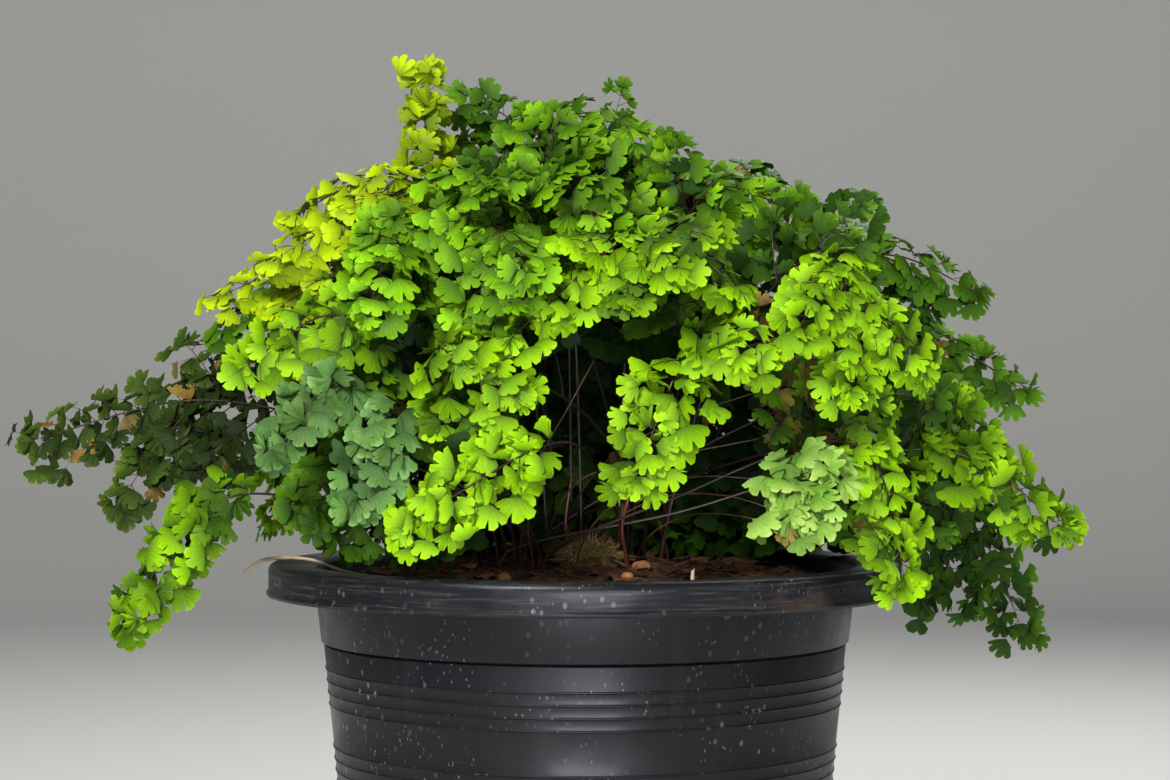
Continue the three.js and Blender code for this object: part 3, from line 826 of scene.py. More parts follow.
def makeStraw():
    v = strawValues
    path = smoothPath(v["route"], 9)
    count = len(path)
    thick = [v["radius"] * (1 - 0.35 * i / count) * (1 + 0.1 * math.sin(i * 1.7)) for i in range(count)]
    stalk = joinParts("dryStalk", [tubeAlong(path, thick, 10)])
    shadePieces(stalk, 1, [0.05] * len(stalk.data.vertices))
    finishPiece(stalk, "dryStalk", strawDry, ["dry_stalk"])

    x, y = v["stub"]
    foot = v["stubFoot"]
    top = soilHeight(x, y) + v["stubHeight"]
    clearSelection()
    bpy.ops.mesh.primitive_cylinder_add(vertices=20, radius=v["stubRadius"] * mm, depth=(top - foot) * mm,
                                        location=(x * mm, y * mm, (top + foot) / 2 * mm))
    stub = bpy.context.object
    bpy.ops.object.transform_apply(location=True, rotation=False, scale=False)
    bpy.ops.object.mode_set(mode="EDIT")
    pick("faces", lambda face: face.normal.z > 0.9)
    bpy.ops.mesh.inset(thickness=0.28 * mm)
    bpy.ops.mesh.extrude_region_move(TRANSFORM_OT_translate={"value": (0, 0, -3 * mm)})
    bpy.ops.object.mode_set(mode="OBJECT")

    def slant(p):  # cut at a slant, and leaning a little
        above = max(0.0, p.z / mm - soilHeight(x, y))
        cut = 0.9 * (p.x / mm - x) if above > 3 else 0
        return Vector((p.x + v["stubLean"] * above * mm * above / v["stubHeight"], p.y, p.z + cut * mm))

    moveVerts(stub, slant)
    shadePieces(stub, 1, [0.0] * len(stub.data.vertices))
    finishPiece(stub, "cutStub", strawDry, ["cut_stub"])


print("soil and litter")
makeSoil()
litterDraw = random.Random(litterValues["seed"])
makeChips(litterDraw)
makeFibres(litterDraw)
makeMoss()
makeStones()
makeStraw()


# One leaflet: a fan of rounded lobes, drawn out from its stalk

leafValues = {
    "columns": 8,
    "plainColumns": 4,  # of the leaflets deep in the shade
    "thickness": 0.02,  # shares of the leaflet's length from here on
    "middle": 0.54,
    "lobeShare": (0.92, 1.0, 0.95, 0.67),  # out along a lobe: its shoulder, its top, its other side, the cut
    "deepest": 0.4,
    "forms": [  # spread in degrees, lopsidedness, cut depth, pleat and cup of each form
        (150, 0.05, 1.1, 0.055, 0.1),
        (128, -0.1, 1.3, 0.07, 0.16),
        (168, 0.12, 0.95, 0.05, 0.06),
        (138, -0.04, 1.4, 0.075, 0.02),
        (118, 0.16, 1.15, 0.055, 0.2),
        (158, -0.14, 0.9, 0.06, 0.12),
    ],
}


def leafForm(columns, number, spread, lopside, cut, pleat, cup):
    v = leafValues
    clearSelection()
    bpy.ops.mesh.primitive_grid_add(x_subdivisions=columns, y_subdivisions=1, size=1)
    leaf = bpy.context.object
    bpy.ops.object.mode_set(mode="EDIT")
    pick("edges", lambda edge: all(vert.co.y > 0.4 for vert in edge.verts))
    bpy.ops.mesh.subdivide(number_cuts=1, ngon=False)  # twice as many points out there as further in
    pick("verts", lambda vert: vert.co.y > 0.4 and abs(vert.co.x) > 0.49)
    bpy.ops.mesh.delete(type="VERT")  # without its corners, the fan's sides run in to the stalk
    pick("edges", lambda edge: all(vert.co.y < -0.4 for vert in edge.verts))
    bpy.ops.mesh.extrude_edges_move(TRANSFORM_OT_translate={"value": (0, -1, 0)})
    bpy.ops.mesh.merge(type="CENTER")
    bpy.ops.object.mode_set(mode="OBJECT")

    def fanOut(p):
        if p.y < -1:
            return Vector((0, 0, 0))
        share = p.x + 0.5  # from one side of the fan to the other
        angle = math.radians(spread) * (p.x + lopside * (0.25 - p.x * p.x))
        step = round(share * 2 * columns)
        if p.y > 0:  # the points beside a cut lean over it
            angle += math.radians(spread) / columns * {0: 0.17, 2: -0.17}.get((step + number) % 4, 0)
        if p.y < 0:
            reach = v["middle"]
            wave = math.cos(share * columns * math.pi)
        else:
            shoulder, top, side, notch = v["lobeShare"]
            depth = (1 - notch) * cut * (0.5 + 0.8 * math.sin(1.9 * step + 2.3 * number) ** 2)
            depth = min(depth, v["deepest"])
            reach = {0: side, 1: 1 - depth, 2: shoulder, 3: top}[(step + number) % 4]
            wave = math.cos((step + number) * math.pi / 2)
        reach *= 1 - 0.12 * abs(2 * p.x) ** 2
        lift = pleat * wave * reach - cup * reach * reach * (1.5 * abs(2 * p.x) ** 2 - 0.3)
        return Vector((reach * math.sin(angle), reach * math.cos(angle), lift))

    moveVerts(leaf, fanOut)
    makeActive(leaf)
    bpy.ops.object.mode_set(mode="EDIT")
    bpy.ops.mesh.select_all(action="SELECT")
    bpy.ops.mesh.quads_convert_to_tris()
    bpy.ops.mesh.normals_make_consistent(inside=False)
    bpy.ops.object.mode_set(mode="OBJECT")
    mesh = leaf.data
    edges = {}
    for face in mesh.polygons:
        for key in face.edge_keys:
            edges[key] = edges.get(key, 0) + 1
    rim = {i for key, uses in edges.items() if uses == 1 for i in key}
    top = [list(face.vertices) for face in mesh.polygons]
    if mesh.polygons[0].normal.z < 0:
        top = [face[::-1] for face in top]
    verts = [Vector(vert.co) for vert in mesh.vertices]
    under = {}
    for i, vert in enumerate(list(verts)):  # the underside shares the rim and lies just below the top
        under[i] = i
        if i not in rim:
            under[i] = len(verts)
            verts.append(vert - Vector((0, 0, v["thickness"])))
    faces = top + [[under[i] for i in face[::-1]] for face in top]
    bpy.data.objects.remove(leaf)
    return np.array([p[:] for p in verts]), faces


print("leaflet forms")
leafForms = [leafForm(leafValues["columns"], i, *row) for i, row in enumerate(leafValues["forms"])]
plainForms = [leafForm(leafValues["plainColumns"], i, *row) for i, row in enumerate(leafValues["forms"])]


def leavesPiece(name, leaves):
    # each leaf is (plain or not, form, place, across, out, up, size, cup, curl, twist, tone) in millimetres
    parts = []
    flats = []
    tones = []
    for plain, form, place, across, out, up, size, cup, curl, twist, tone in leaves:
        shape, formFaces = (plainForms if plain else leafForms)[form]
        x, y = shape[:, 0], shape[:, 1]
        z = shape[:, 2] * cup - curl * y * y + twist * x * y
        axes = np.array((across, out, up)) * size
        parts.append((np.stack((x, y, z), 1) @ axes + np.array(place), formFaces))
        flats.append(np.stack((x * 0.5 + 0.5, y), 1))
        tones.append(np.tile((*tone, 1.0), (len(shape), 1)))
    piece = joinParts(name, parts)
    flats = np.concatenate(flats)
    corners = np.array([i for face in piece.data.polygons for i in face.vertices])
    layer = piece.data.uv_layers.new(name="leafFlat")
    layer.data.foreach_set("uv", flats[corners].astype(np.float32).ravel())
    colour = piece.data.color_attributes.new("leafTone", "FLOAT_COLOR", "POINT")
    colour.data.foreach_set("color", np.concatenate(tones).astype(np.float32).ravel())
    return piece


# Fronds

growth = {  # lengths in millimetres, angles in degrees
    "seed": 23,
    "centre": (0, 0, 230),  # leaves face away from this point
    "lightPull": 1.15,  # how strongly leaves in front turn to the light at -Y
    "lightFrom": (0.75, 150),  # that pull at Y = 0, and the distance over which it changes by 1
    "foot": 226,  # down in the root ball
    "upright": 6,
    "kneeShare": 0.38,
    "rootShare": 0.33,
    "rootRange": (12, 62),
    "rootSpacing": 7.5,
    "rootStep": 9,
    "mossKeepOff": 17,
    "run": 24,  # how far to both sides a path's direction is taken
    "reach": 25.5,  # half of a spray's width
    "stalkRadius": (0.8, 0.36),
    "stalkTip": 0.25,  # how much thinner its last bit is
    "stalkSteps": 48,
    "sides": (7, 4),  # of a stalk's tube and of the finer ones
    "forkRadius": (0.32, 0.16),
    "branchRadius": (0.2, 0.1),
    "coverReach": (3, 70),  # how far above a leaflet others shade it
    "coverWidth": 8.5,  # and how far to its sides
    # how much painted shade each leaflet over another adds to it
    "coverDims": 0.32,
    "cave": ((-34, 84), (-140, -12), (0, 345)),  # the hollow in front, where only stalks show
    "lowest": 8,  # of the leaflets of side sprays, above the soil
    "soilReach": 118,
    "rimFrom": 100,
    "leafKeepOff": (12, 8),  # outwards from the rim and above it
    "twigKeepOff": (3, 2),
}

sprayHabit = {
    "firstPinna": 3.0,
    "bareEnd": 7,
    "pinnaPitch": 5.6,  # between branchlets, which stand on one side of the rib and then the other
    "pinnaSpacing": (0.9, 1.1),
    "pinnaAngle": (60, 6),
    "lengths": (0.88, 1.08),
    "shortest": 6,
    "waistAt": (0.6, 0.1),  # where along a spray it narrows, and over what share
    "leafRoom": 0.72,  # share of a leaflet by which a branchlet ends short of the spray's edge
    "tipShrink": 0.2,
    "rise": 0.9,  # of a branchlet over the middle of its stalk
    "sag": (0.16, 0.07),
    "sweep": 0.12,
    "dip": 0.13,
    "firstLeaf": (2.5, 4),
    "lastLeaf": 3.5,
    "leafPitch": 4.3,
    "leafSpacing": (0.9, 1.12),
    "leafAngle": (56, 8),
    "leafSize": 11.6,
    "leafShrink": 0.16,
    "ruffleLean": 1.1,
    "ruffleSpread": 0.34,
    "ruffleLift": (1, 4),
    "ruffleBack": 3,
    "ruffleSizes": (0.7, 1),
    "endSizes": (0.98, 0.82),  # of a branchlet's and of a spray's last leaflets
    "outShade": 0.1,  # painted light: how much brighter leaflets get out along a branchlet
    "endShade": 0.12,  # and at its end, over the rib, and at the spray's tip
    "ruffleShade": 0.15,
    "tipShade": 0.2,
    "endLeaves": ((0, 6), (50, 8), (-50, 10)),  # lean of each, and its distance from the tip
}

leafHabit = {
    "tilt": 0.24,
    "droopSpread": 0.22,
    "toneSpread": 0.2,
    "sizes": (0.84, 1.14),
    "cups": (0.5, 2.0),
    "curl": (0.1, 0.17),
    "twist": 0.2,
    "strayDead": 0.006,  # share of dead leaflets on a healthy frond
    "deadShare": 0.3,  # and on one that is all aged
    "deadAge": (0.45, 0.95),
    "deadShrink": 0.3,
    "deadCurl": 0.4,
}

sideHabit = {  # of the sprays that fork off a frond, at its head and down its stalk
    "angle": 52,
    "length": 0.56,  # share of the leafy length
    "step": 14,
    "width": 0.86,
    "lift": 6,
    "sag": 0.22,
    "lowSag": (150, 0.75),  # below this height up the stalk they hang more
    "points": 12,
    "below": 8,  # the first of those on the stalk starts this far under the leafy part
    "apart": 5,
    "size": 0.95,
    "span": 50,
    "spans": (0.85, 1.15),
    "live": 4,  # how many of those have the frond's own tone and full leaflets
    "shades": (0.3, 0.04, 0.06),  # painted shade of the first, what each next one loses, and the least
}

frondDefaults = {  # for what a frond's own line leaves out
    "root": None,
    "rise": 0.68,
    "face": None,
    "age": 0,
    "shade": 0.62,  # how brightly its leaflets are painted, from 0 to 1: painted light and shade, as the frond is lit
    "droop": 0.16,
    "reach": 1,
    "size": 1.0,
    "pitch": 1.0,
    "ruffle": 0,  # leaflets that stand over the rib
    "waist": 0.0,
    "taper": 0.42,
    "sides": "",
    "sideAt": 3,
    "fill": 3,  # pairs of side sprays down the stalk
    "fillTone": None,
    "fillStep": 21,
    "fillFrom": 34,  # above the stalk's foot
    "fillRuffle": 0,
}


class Rail:  # a path that can be asked for its place and run at any distance along it

    def __init__(self, points):
        self.points = np.array([tuple(p) for p in points])
        steps = np.linalg.norm(np.diff(self.points, axis=0), axis=1)
        self.marks = np.concatenate(((0,), np.cumsum(steps)))
        self.length = float(self.marks[-1])

    def at(self, distance):
        distance = min(max(distance, 0), self.length)
        return Vector([float(np.interp(distance, self.marks, self.points[:, k])) for k in range(3)])

    def run(self, distance, reach):
        return (self.at(distance + reach) - self.at(distance - reach)).normalized()


def rootsOf(fronds):  # where each stalk stands in the soil
    roots = []
    moss = Vector(mossValues["place"])
    least, most = growth["rootRange"]
    for frond in fronds:
        far = math.hypot(*frond.crest[:2])
        share = min(max(far * growth["rootShare"], least), most) / far
        root = Vector(frond.root or (frond.crest[0] * share, frond.crest[1] * share))
        while (any((root - other).length < growth["rootSpacing"] for other in roots)
               or (root - moss).length < growth["mossKeepOff"]):
            root.rotate(Matrix.Rotation(math.radians(growth["rootStep"]), 2))
        roots.append(root)
    return roots


def spineOf(root, crest, tip, rise):
    ground = soilHeight(root.x, root.y)
    foot = ground + growth["upright"]
    flow = Vector((crest.x - root.x, crest.y - root.y, 0))
    knee = Vector((root.x, root.y, foot + (crest.z - foot) * rise)) + flow * growth["kneeShare"]
    feet = [Vector((root.x, root.y, z)) for z in (growth["foot"], ground - 1, foot)]
    return Rail(smoothPath([*feet, knee, crest, tip], 24))


def lookAt(place, face):
    if face:
        return Vector(face).normalized()
    look = (place - Vector(growth["centre"])).normalized()
    pull, over = growth["lightFrom"]
    look.y -= growth["lightPull"] * min(max(pull - place.y / over, 0), 1)
    return look


def nearRim(place, out, above):
    beside = growth["rimFrom"] < math.hypot(place.x, place.y) < potValues["rimRadius"] + out
    return beside and place.z < potValues["height"] + above


def outOfCave(place):  # and clear of the soil and the rim
    low = place.z < soilHeight(place.x, place.y) + growth["lowest"]
    if low and math.hypot(place.x, place.y) < growth["soilReach"]:
        return False
    if nearRim(place, *growth["leafKeepOff"]):
        return False
    return not all(small < part < large for part, (small, large) in zip(place, growth["cave"]))


def clearOfPot(place):
    return not nearRim(place, *growth["twigKeepOff"])


def anywhere(place):
    return True


class Frond:  # one frond, and the leaflets and twigs that have grown on it

    def __init__(self, name, tone, crest, tip, leafy, **given):
        self.name = name
        self.tone = tone
        self.crest = crest
        self.tip = tip
        self.leafy = leafy
        for key, value in {**frondDefaults, **given}.items():
            setattr(self, key, value)
        self.plain = False
        self.leaves = {}  # tone to its leaflets
        self.twigs = []
        self.draw = random.Random(f"{growth['seed']} {name}")

    def frameAt(self, rail, distance, middle):
        heart = rail.run(middle, growth["run"])
        look = lookAt(rail.at(middle), self.face)
        up = (look - heart * look.dot(heart)).normalized()
        ahead = rail.run(distance, growth["run"])
        up.rotate(heart.rotation_difference(ahead))
        return ahead, up, up.cross(ahead)

    def addLeaf(self, place, out, up, size, shade):
        v = leafHabit
        draw = self.draw
        up = (up - out * up.dot(out)).normalized()
        up.rotate(Quaternion(out, draw.gauss(0, v["tilt"])))
        across = out.cross(up)
        droop = Quaternion(across, -draw.gauss(self.droop, v["droopSpread"]))
        out = droop @ out
        up = droop @ up
        bright = min(max(draw.gauss(self.shade, v["toneSpread"]) + shade, 0), 1)
        age = 0.0
        if draw.random() < v["strayDead"] + v["deadShare"] * self.age:
            age = draw.uniform(*v["deadAge"])
        tone = [bright, age, draw.random()]
        form = draw.randrange(len(leafForms))
        size *= draw.uniform(*v["sizes"]) * (1 - v["deadShrink"] * age)
        cup = draw.uniform(*v["cups"])
        curl = draw.gauss(*v["curl"]) + v["deadCurl"] * age
        twist = draw.gauss(0, v["twist"])
        leaf = (self.plain, form, place[:], across[:], out[:], up[:], size, cup, curl, twist, tone)
        self.leaves.setdefault(self.tone, []).append(leaf)

    def addBranchlet(self, place, ahead, up, across, side, length, size, keep):
        v = sprayHabit
        draw = self.draw
        mean, spread = v["pinnaAngle"]
        angle = math.radians(mean + draw.gauss(0, spread))
        heading = (ahead * math.cos(angle) + across * side * math.sin(angle)).normalized()
        sag = draw.gauss(*v["sag"])

        def along(t):
            bend = ahead * (v["sweep"] * length * t * t) - up * (v["dip"] * length * t * t)
            return place + heading * length * t + bend - Vector((0, 0, sag * length * t * t))

        self.twigs.append(([along(t) for t in (0, 0.35, 0.7, 1)], *growth["branchRadius"]))
        turn = 1 if draw.random() < 0.5 else -1
        mean, spread = v["leafAngle"]
        far = draw.uniform(*v["firstLeaf"])
        while far < length - v["lastLeaf"]:
            t = far / length
            here = along(t)
            if keep(here):
                run = (along(min(1, t + 0.1)) - along(t - 0.1)).normalized()
                normal = (up - run * up.dot(run)).normalized()
                lean = math.radians(mean + draw.gauss(0, spread)) * turn
                out = Quaternion(normal, lean) @ run
                self.addLeaf(here, out, normal, size * (1 - v["leafShrink"] * t), v["outShade"] * t)
            turn = -turn
            far += v["leafPitch"] * draw.uniform(*v["leafSpacing"])
        end = along(0.96)
        if keep(end):
            run = (along(1) - along(0.8)).normalized()
            self.addLeaf(end, run, up, size * v["endSizes"][0], v["endShade"])

    def addSpray(self, rail, start, length, reach, keep, size=1.0, pitch=1.0, ruffle=0, waist=0.0,
                 taper=frondDefaults["taper"]):
        v = sprayHabit
        draw = self.draw
        fullSize = v["leafSize"] * size
        middle = start + length / 2
        waistAt, waistHalf = v["waistAt"]

        def widthAt(share):
            wide = reach * min(1, 0.8 + share) * (1 - taper * share * share)
            return wide * (1 - waist * math.exp(-((share - waistAt) / waistHalf) ** 2))

        side = 1 if draw.random() < 0.5 else -1
        far = v["firstPinna"]
        while far < length - v["bareEnd"]:
            share = far / length
            ahead, up, across = self.frameAt(rail, start + far, middle)
            room = v["leafRoom"] * v["leafSize"] * size
            long = max(widthAt(share) - room, v["shortest"]) * draw.uniform(*v["lengths"])
            place = rail.at(start + far) + up * v["rise"]
            if keep(place):
                leafSize = fullSize * (1 - v["tipShrink"] * share)
                self.addBranchlet(place, ahead, up, across, side, long, leafSize, keep)
            side = -side
            far += v["pinnaPitch"] * pitch * draw.uniform(*v["pinnaSpacing"])
        for _ in range(ruffle):
            far = draw.uniform(0.05, 0.96) * length
            ahead, up, across = self.frameAt(rail, start + far, middle)
            out = Quaternion(up, draw.gauss(0, v["ruffleLean"])) @ ahead
            beside = draw.gauss(0, v["ruffleSpread"]) * widthAt(far / length)
            lift = up * draw.uniform(*v["ruffleLift"])
            place = rail.at(start + far) + lift + across * beside - out * v["ruffleBack"]
            if keep(place):
                self.addLeaf(place, out, up, fullSize * draw.uniform(*v["ruffleSizes"]), v["ruffleShade"])
        ahead, up, across = self.frameAt(rail, start + length, middle)
        for lean, back in v["endLeaves"]:
            place = rail.at(start + length - back)
            if keep(place):
                out = Quaternion(up, math.radians(lean)) @ ahead
                self.addLeaf(place, out, up, fullSize * v["endSizes"][1], v["tipShade"])

    def sideRail(self, rail, at, side, length, middle, sag):
        ahead, up, across = self.frameAt(rail, at, middle)
        angle = math.radians(sideHabit["angle"])
        heading = ahead * math.cos(angle) + across * side * math.sin(angle)
        place = rail.at(at)
        points = []
        for i in range(sideHabit["points"] + 1):
            t = i / sideHabit["points"]
            drop = Vector((0, 0, -sag * length * t * t))
            points.append(place + heading * length * t + up * (sideHabit["lift"] * t * (1 - t)) + drop)
        return Rail(points)

    def grow(self, root):
        v = sideHabit
        rail = spineOf(root, Vector(self.crest), Vector(self.tip), self.rise)
        self.rail = rail
        start = rail.length - self.leafy
        middle = start + self.leafy / 2
        self.addSpray(rail, start, self.leafy, growth["reach"] * self.reach, anywhere, self.size, self.pitch,
                      self.ruffle, self.waist, self.taper)
        forks = []  # where on the stalk, to which side, how long and how large
        for i, letter in enumerate(self.sides):
            at = start + self.sideAt + v["step"] * i
            forks.append((at, 1 if letter == "R" else -1, v["length"] * self.leafy, 1.0))
        ownForks = len(forks)
        for i in range(self.fill):
            at = start - v["below"] - self.fillStep * i
            if at < self.fillFrom:
                break
            for side in (-1, 1):
                length = v["span"] * self.draw.uniform(*v["spans"])
                forks.append((at + v["apart"] * side, side, length, v["size"]))
        ownTone = self.tone
        lowFrom, moreSag = v["lowSag"]
        bright, dims, darkest = v["shades"]
        reach = growth["reach"] * v["width"]
        for i, (at, side, length, size) in enumerate(forks):
            sag = v["sag"]
            ruffle = 0
            number = i - ownForks  # among those down the stalk
            if number >= 0:
                self.plain = number >= v["live"]
                # painted shade: sprays lower down, inside the plant, take the darker deep green and dimmer
                # leaflets
                self.tone = self.fillTone or ("deep" if self.plain else ownTone)
                self.shade = max(bright - dims * number, darkest)
                middle = at
                sag += moreSag * max(0, 1 - at / lowFrom)
                ruffle = self.fillRuffle
            branch = self.sideRail(rail, at, side, length, middle, sag)
            self.twigs.append(([branch.at(branch.length * k / 6) for k in range(7)], *growth["forkRadius"]))
            self.addSpray(branch, 0, branch.length, reach, outOfCave, size, ruffle=ruffle)

    def build(self):
        thick, thin = growth["stalkRadius"]
        steps = growth["stalkSteps"]
        path = [self.rail.at(self.rail.length * k / steps) for k in range(steps + 1)]
        radii = [thick + (thin - thick) * k / steps - (growth["stalkTip"] if k > steps - 4 else 0)
                 for k in range(steps + 1)]
        tubes = [tubeAlong(path, radii, growth["sides"][0])]
        for points, base, end in self.twigs:
            radii = [base + (end - base) * k / (len(points) - 1) for k in range(len(points))]
            clear = list(itertools.takewhile(clearOfPot, points))  # a twig stops short of the pot
            if len(clear) > 1:
                tubes.append(tubeAlong(clear, radii[:len(clear)], growth["sides"][1]))
        node = "frond_" + self.name
        for leafTone, some in self.leaves.items():
            label = f"leaves_{self.name}_{leafTone}"
            finishPiece(leavesPiece(label, some), label, leafTones[leafTone], [node], 75)
        label = "stalks_" + self.name
        finishPiece(joinParts(label, tubes), label, stalkDark, [node], 50)
        return sum(len(some) for some in self.leaves.values())


def paintCoverShade(fronds):  # painted shade: leaflets that lie under others are painted darker, the more so the more of them cover it
    leaves = [leaf for frond in fronds for some in frond.leaves.values() for leaf in some]
    places = np.array([leaf[2] for leaf in leaves])
    looks = np.array([lookAt(Vector(place), None).normalized()[:] for place in places])
    near, far = growth["coverReach"]
    wide = growth["coverWidth"] ** 2
    for i, leaf in enumerate(leaves):
        apart = places - places[i]
        ahead = apart @ looks[i]
        beside = (apart * apart).sum(1) - ahead * ahead
        over = ((ahead > near) & (ahead < far) & (beside < wide)).sum()
        leaf[-1][0] /= 1 + growth["coverDims"] * float(over)


toViewer = (0.05, -1, 0.25)

# name, tone, crest, tip, length with leaves, and what else it needs
fronds = [
    Frond("top_spike", "yellow", (-72, 15, 420), (-77, 12, 484), 84, root=(-10, 15), face=toViewer,
        reach=0.78, size=0.88, pitch=0.7, ruffle=40, shade=1.0, waist=0.78, droop=0.35),
    Frond("far_left", "dull", (-190, 65, 320), (-284, 74, 298), 112, root=(-50, 20), sides="LR", fill=2,
        face=(-0.1, -0.9, 0.5), reach=1.05, age=0.12, taper=0.05, droop=0.3),
    Frond("low_left", "lime", (-165, -55, 275), (-212, -62, 214), 96, root=(-60, -20), fill=0, ruffle=26,
        droop=0.3, shade=0.36),
    Frond("far_right", "lime", (165, -50, 297), (223, -50, 258), 92, sides="R", fill=1, root=(-38, -38),
        rise=0.4, ruffle=22, shade=0.4, fillTone="deep"),
    Frond("top_right_spike", "deep", (12, 50, 446), (20, 50, 480), 52, face=toViewer, reach=0.5, size=0.66,
        fill=12, ruffle=8),
    Frond("front_low", "lime", (-13, -120, 302), (-84, -132, 262), 86, fill=0, shade=1.15, reach=0.95,
        ruffle=16, droop=0.3),
    Frond("right_front", "lime", (109, -70, 387), (116, -107, 318), 88, sides="LR", fill=2, shade=0.84,
        sideAt=20, fillTone="deep"),
    Frond("hang_centre", "lime", (41, -104, 336), (19, -115, 280), 74, fill=0, shade=0.7, ruffle=8),
    Frond("right_low", "lime", (120, -92, 300), (142, -98, 233), 84, root=(-18, -50), rise=0.5, fill=1,
        shade=1.05, ruffle=12, droop=0.3),
    Frond("pale_low", "pale", (98, -100, 297), (84, -130, 262), 62, root=(-34, 10), rise=0.5, sides="L",
        fill=0, face=(-0.15, -0.55, 0.8), droop=0.3, ruffle=18, shade=0.8),
    Frond("upper_left", "yellow", (-90, -5, 425), (-143, -12, 404), 92, sides="LR",
        face=(-0.3, -0.6, 0.75), droop=0.4, shade=0.75),
    Frond("middle_left", "yellow", (-100, -35, 403), (-150, -46, 380), 80, face=(-0.25, -0.66, 0.7),
        droop=0.4, shade=0.75),
    Frond("left_shoulder", "yellow", (-125, -15, 383), (-176, -22, 366), 88, sides="LR", shade=0.9,
        face=(-0.3, -0.62, 0.7), droop=0.35),
    Frond("left_dark", "deep", (-140, 30, 375), (-187, 40, 350), 80),
    Frond("left_front", "lime", (-110, -85, 358), (-157, -88, 330), 92, sides="L"),
    Frond("blue_left", "blue", (-108, -106, 326), (-140, -112, 296), 56, fill=0, shade=0.46, reach=0.75,
        ruffle=14),
    Frond("blue_hanging", "blue", (-82, -112, 316), (-100, -124, 270), 56, fill=0, shade=0.42, reach=0.85,
        ruffle=12),
    Frond("front_left", "lime", (-63, -108, 344), (-24, -124, 318), 74),
    Frond("arch_left", "lime", (24, -80, 393), (-38, -113, 342), 92, sides="R", shade=1.0,
        face=(-0.25, -0.72, 0.66), droop=0.4),
    Frond("arch_right", "lime", (24, -70, 400), (72, -110, 364), 92, sides="L", shade=1.0,
        face=(0.1, -0.6, 0.78), droop=0.45, reach=0.95),
    Frond("hang_wing", "lime", (50, -100, 350), (82, -124, 338), 56, fill=0, shade=0.8, ruffle=6),
    Frond("right_top", "fresh", (60, -30, 418), (135, -38, 383), 100, shade=0.36, fill=4),
    Frond("right_crown", "deep", (70, 25, 430), (120, 30, 410), 80, sides="R", fill=14, age=0.1),
    Frond("right_back_top", "deep", (146, 60, 392), (201, 62, 371), 84, sides="R", fill=6,
        face=(0.3, -0.8, 0.7)),
    Frond("right_back", "deep", (168, 40, 347), (222, 42, 321), 80, sides="L", root=(-26, 24), rise=0.5,
        fill=11, fillStep=16, fillRuffle=7, face=(0.3, -0.8, 0.6)),
    Frond("right_middle", "fresh", (150, -14, 330), (194, -14, 294), 80, sides="R", root=(-24, -12),
        rise=0.52, shade=0.28),
    Frond("low_back", "deep", (186, 60, 262), (221, 62, 198), 88, root=(-8, 34), rise=0.5, sides="R",
        fill=8, fillStep=17, face=(0.3, -0.9, 0.3)),
    Frond("brown", "deep", (81, -72, 345), (98, -82, 298), 64, age=1.2, fill=1),
    Frond("top_dark", "deep", (-28, 50, 450), (-65, 52, 474), 76, face=(0, -0.8, 0.6), sides="LR", fill=12),
    Frond("top_front", "fresh", (-12, -20, 450), (30, -26, 445), 76, sides="LR", shade=0.3, fillTone="deep"),
    Frond("centre_high", "fresh", (-12, -48, 424), (8, -66, 396), 66, sides="LR", shade=0.42),
    Frond("centre_left", "fresh", (-52, -50, 424), (-62, -70, 384), 72, sides="LR", shade=0.5),
    Frond("centre_low", "fresh", (-38, -78, 396), (-48, -98, 352), 66, sides="LR", shade=0.56),
    Frond("middle_low", "fresh", (-83, -70, 390), (-98, -92, 350), 66, sides="L", shade=0.62),
    Frond("lower_left", "deep", (-103, -60, 292), (-132, -72, 266), 56, ruffle=14),
    Frond("top_back", "deep", (30, 62, 442), (58, 96, 412), 78, sides="LR", fill=8),
    Frond("back_left_high", "fresh", (-66, 72, 426), (-100, 104, 388), 84, sides="R", fill=12),
    Frond("back_high", "fresh", (-8, 100, 420), (-14, 142, 376), 80, sides="L", fill=14),
    Frond("back_right", "fresh", (96, 110, 372), (134, 146, 322), 88, sides="R", fill=20, fillFrom=12,
        fillStep=14),
    Frond("back_centre", "fresh", (26, 136, 352), (36, 180, 296), 88, sides="L", fill=16, fillFrom=12,
        fillStep=17),
    Frond("back_left", "deep", (-76, 128, 346), (-100, 172, 292), 88, sides="R", fill=12),
    Frond("back_low_left", "fresh", (-128, 108, 310), (-168, 138, 250), 88, fill=8, sides="LR"),
    Frond("back_low", "deep", (-20, 152, 286), (-26, 198, 226), 80, fill=9, sides="LR", fillFrom=14),
    Frond("back_low_right", "fresh", (92, 136, 290), (120, 176, 232), 80, fill=14, sides="LR", fillFrom=12,
        fillStep=13),
]


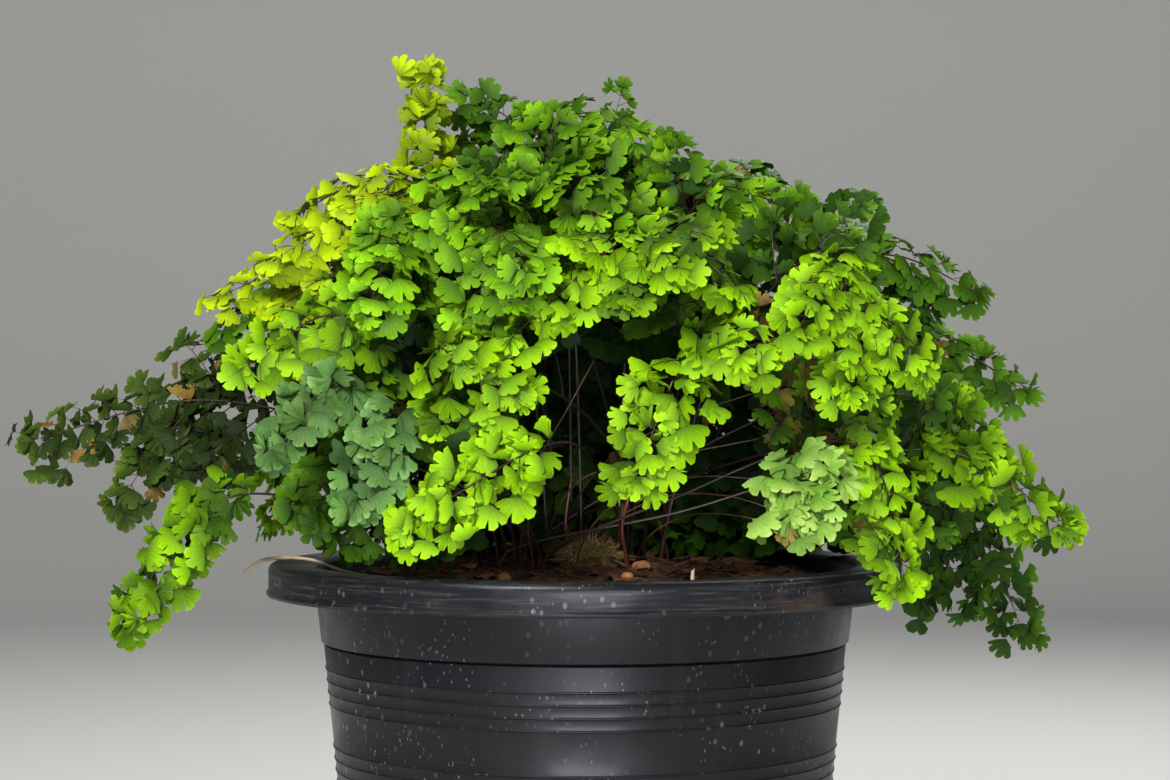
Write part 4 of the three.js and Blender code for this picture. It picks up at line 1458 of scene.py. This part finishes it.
def makeFallen(draw):  # dead leaflets that lie about on the soil
    leaves = []
    for _ in range(litterValues["leaves"]):
        x, y = spotOn(draw, litterValues["leafSpread"])
        up = Vector((draw.gauss(0, 0.28), draw.gauss(-0.1, 0.28), 1)).normalized()
        out = Quaternion(up, draw.uniform(0, 6.3)) @ up.orthogonal()
        tone = (draw.random(), draw.uniform(0.85, 1), draw.random())
        form = draw.randrange(len(leafForms))
        place = (x, y, groundHeight(x, y) + litterValues["leafLift"])
        size = draw.uniform(*litterValues["leafSizes"])
        cup = draw.uniform(1.2, 2.4)
        curl = draw.gauss(0.3, 0.15)
        leaves.append((False, form, place, out.cross(up)[:], out[:], up[:], size, cup, curl, 0.1, tone))
    piece = leavesPiece("fallenLeaflets", leaves)
    shades = [draw.uniform(0, 0.8) for _ in leaves]
    shadePieces(piece, [len(leafForms[leaf[1]][0]) for leaf in leaves], shades)
    material = litterFinish("leafLitter", paint(44, 28, 15), paint(120, 84, 46), 90)
    finishPiece(piece, "fallenLeaflets", material, ["soil"], 75)


youngValues = {  # stalks without leaves: foot, the places that each passes, and its radius
    "feet": (236, 246),  # heights at which each stands upright in the soil
    "young": [
        ((-7, -28), [(-9, -30, 262), (-6, -32, 286)], 1.0),
        ((19, -44), [(17, -46, 262), (21, -50, 280)], 0.95),
    ],
    "bare": [
        ((-18, -24), [(-15, -36, 264), (-2, -50, 284), (34, -62, 294), (78, -70, 303)], 0.5),
        ((-4, -48), [(4, -54, 264), (22, -62, 279), (50, -72, 286), (80, -82, 285)], 0.45),
        ((8, -16), [(12, -28, 262), (36, -46, 276), (64, -60, 277), (88, -66, 270)], 0.45),
        ((24, -26), [(30, -36, 258), (48, -52, 268), (70, -64, 268), (92, -72, 262)], 0.4),
        ((-14, -4), [(-10, -14, 262), (10, -34, 292), (44, -50, 312), (84, -60, 326)], 0.5),
        ((-24, -40), [(-26, -48, 262), (-22, -58, 290), (-8, -66, 316), (4, -70, 338)], 0.5),
        ((-30, -16), [(-30, -26, 266), (-40, -42, 296), (-56, -58, 318), (-74, -72, 332)], 0.45),
    ],
}


def makeYoung():
    low, high = youngValues["feet"]
    for kind, material, sides in (("young", stalkRed, 12), ("bare", stalkDry, 8)):
        tubes = []
        for (x, y), places, radius in youngValues[kind]:
            path = smoothPath([(x, y, low), (x, y, high), *places])
            count = len(path)
            radii = [radius * (1 - 0.35 * i / count) for i in range(count - 2)] + [radius * 0.5, radius * 0.2]
            tubes.append(tubeAlong(path, radii, sides))
        finishPiece(joinParts(kind + "Stalks", tubes), kind + "Stalks", material, ["soil"], 50)


print("fallen leaflets and young stalks")
makeFallen(litterDraw)
makeYoung()
print("fronds")
for frond, root in zip(fronds, rootsOf(fronds)):
    frond.grow(root)
paintCoverShade(fronds)
print("leaflets:", sum(frond.build() for frond in fronds))
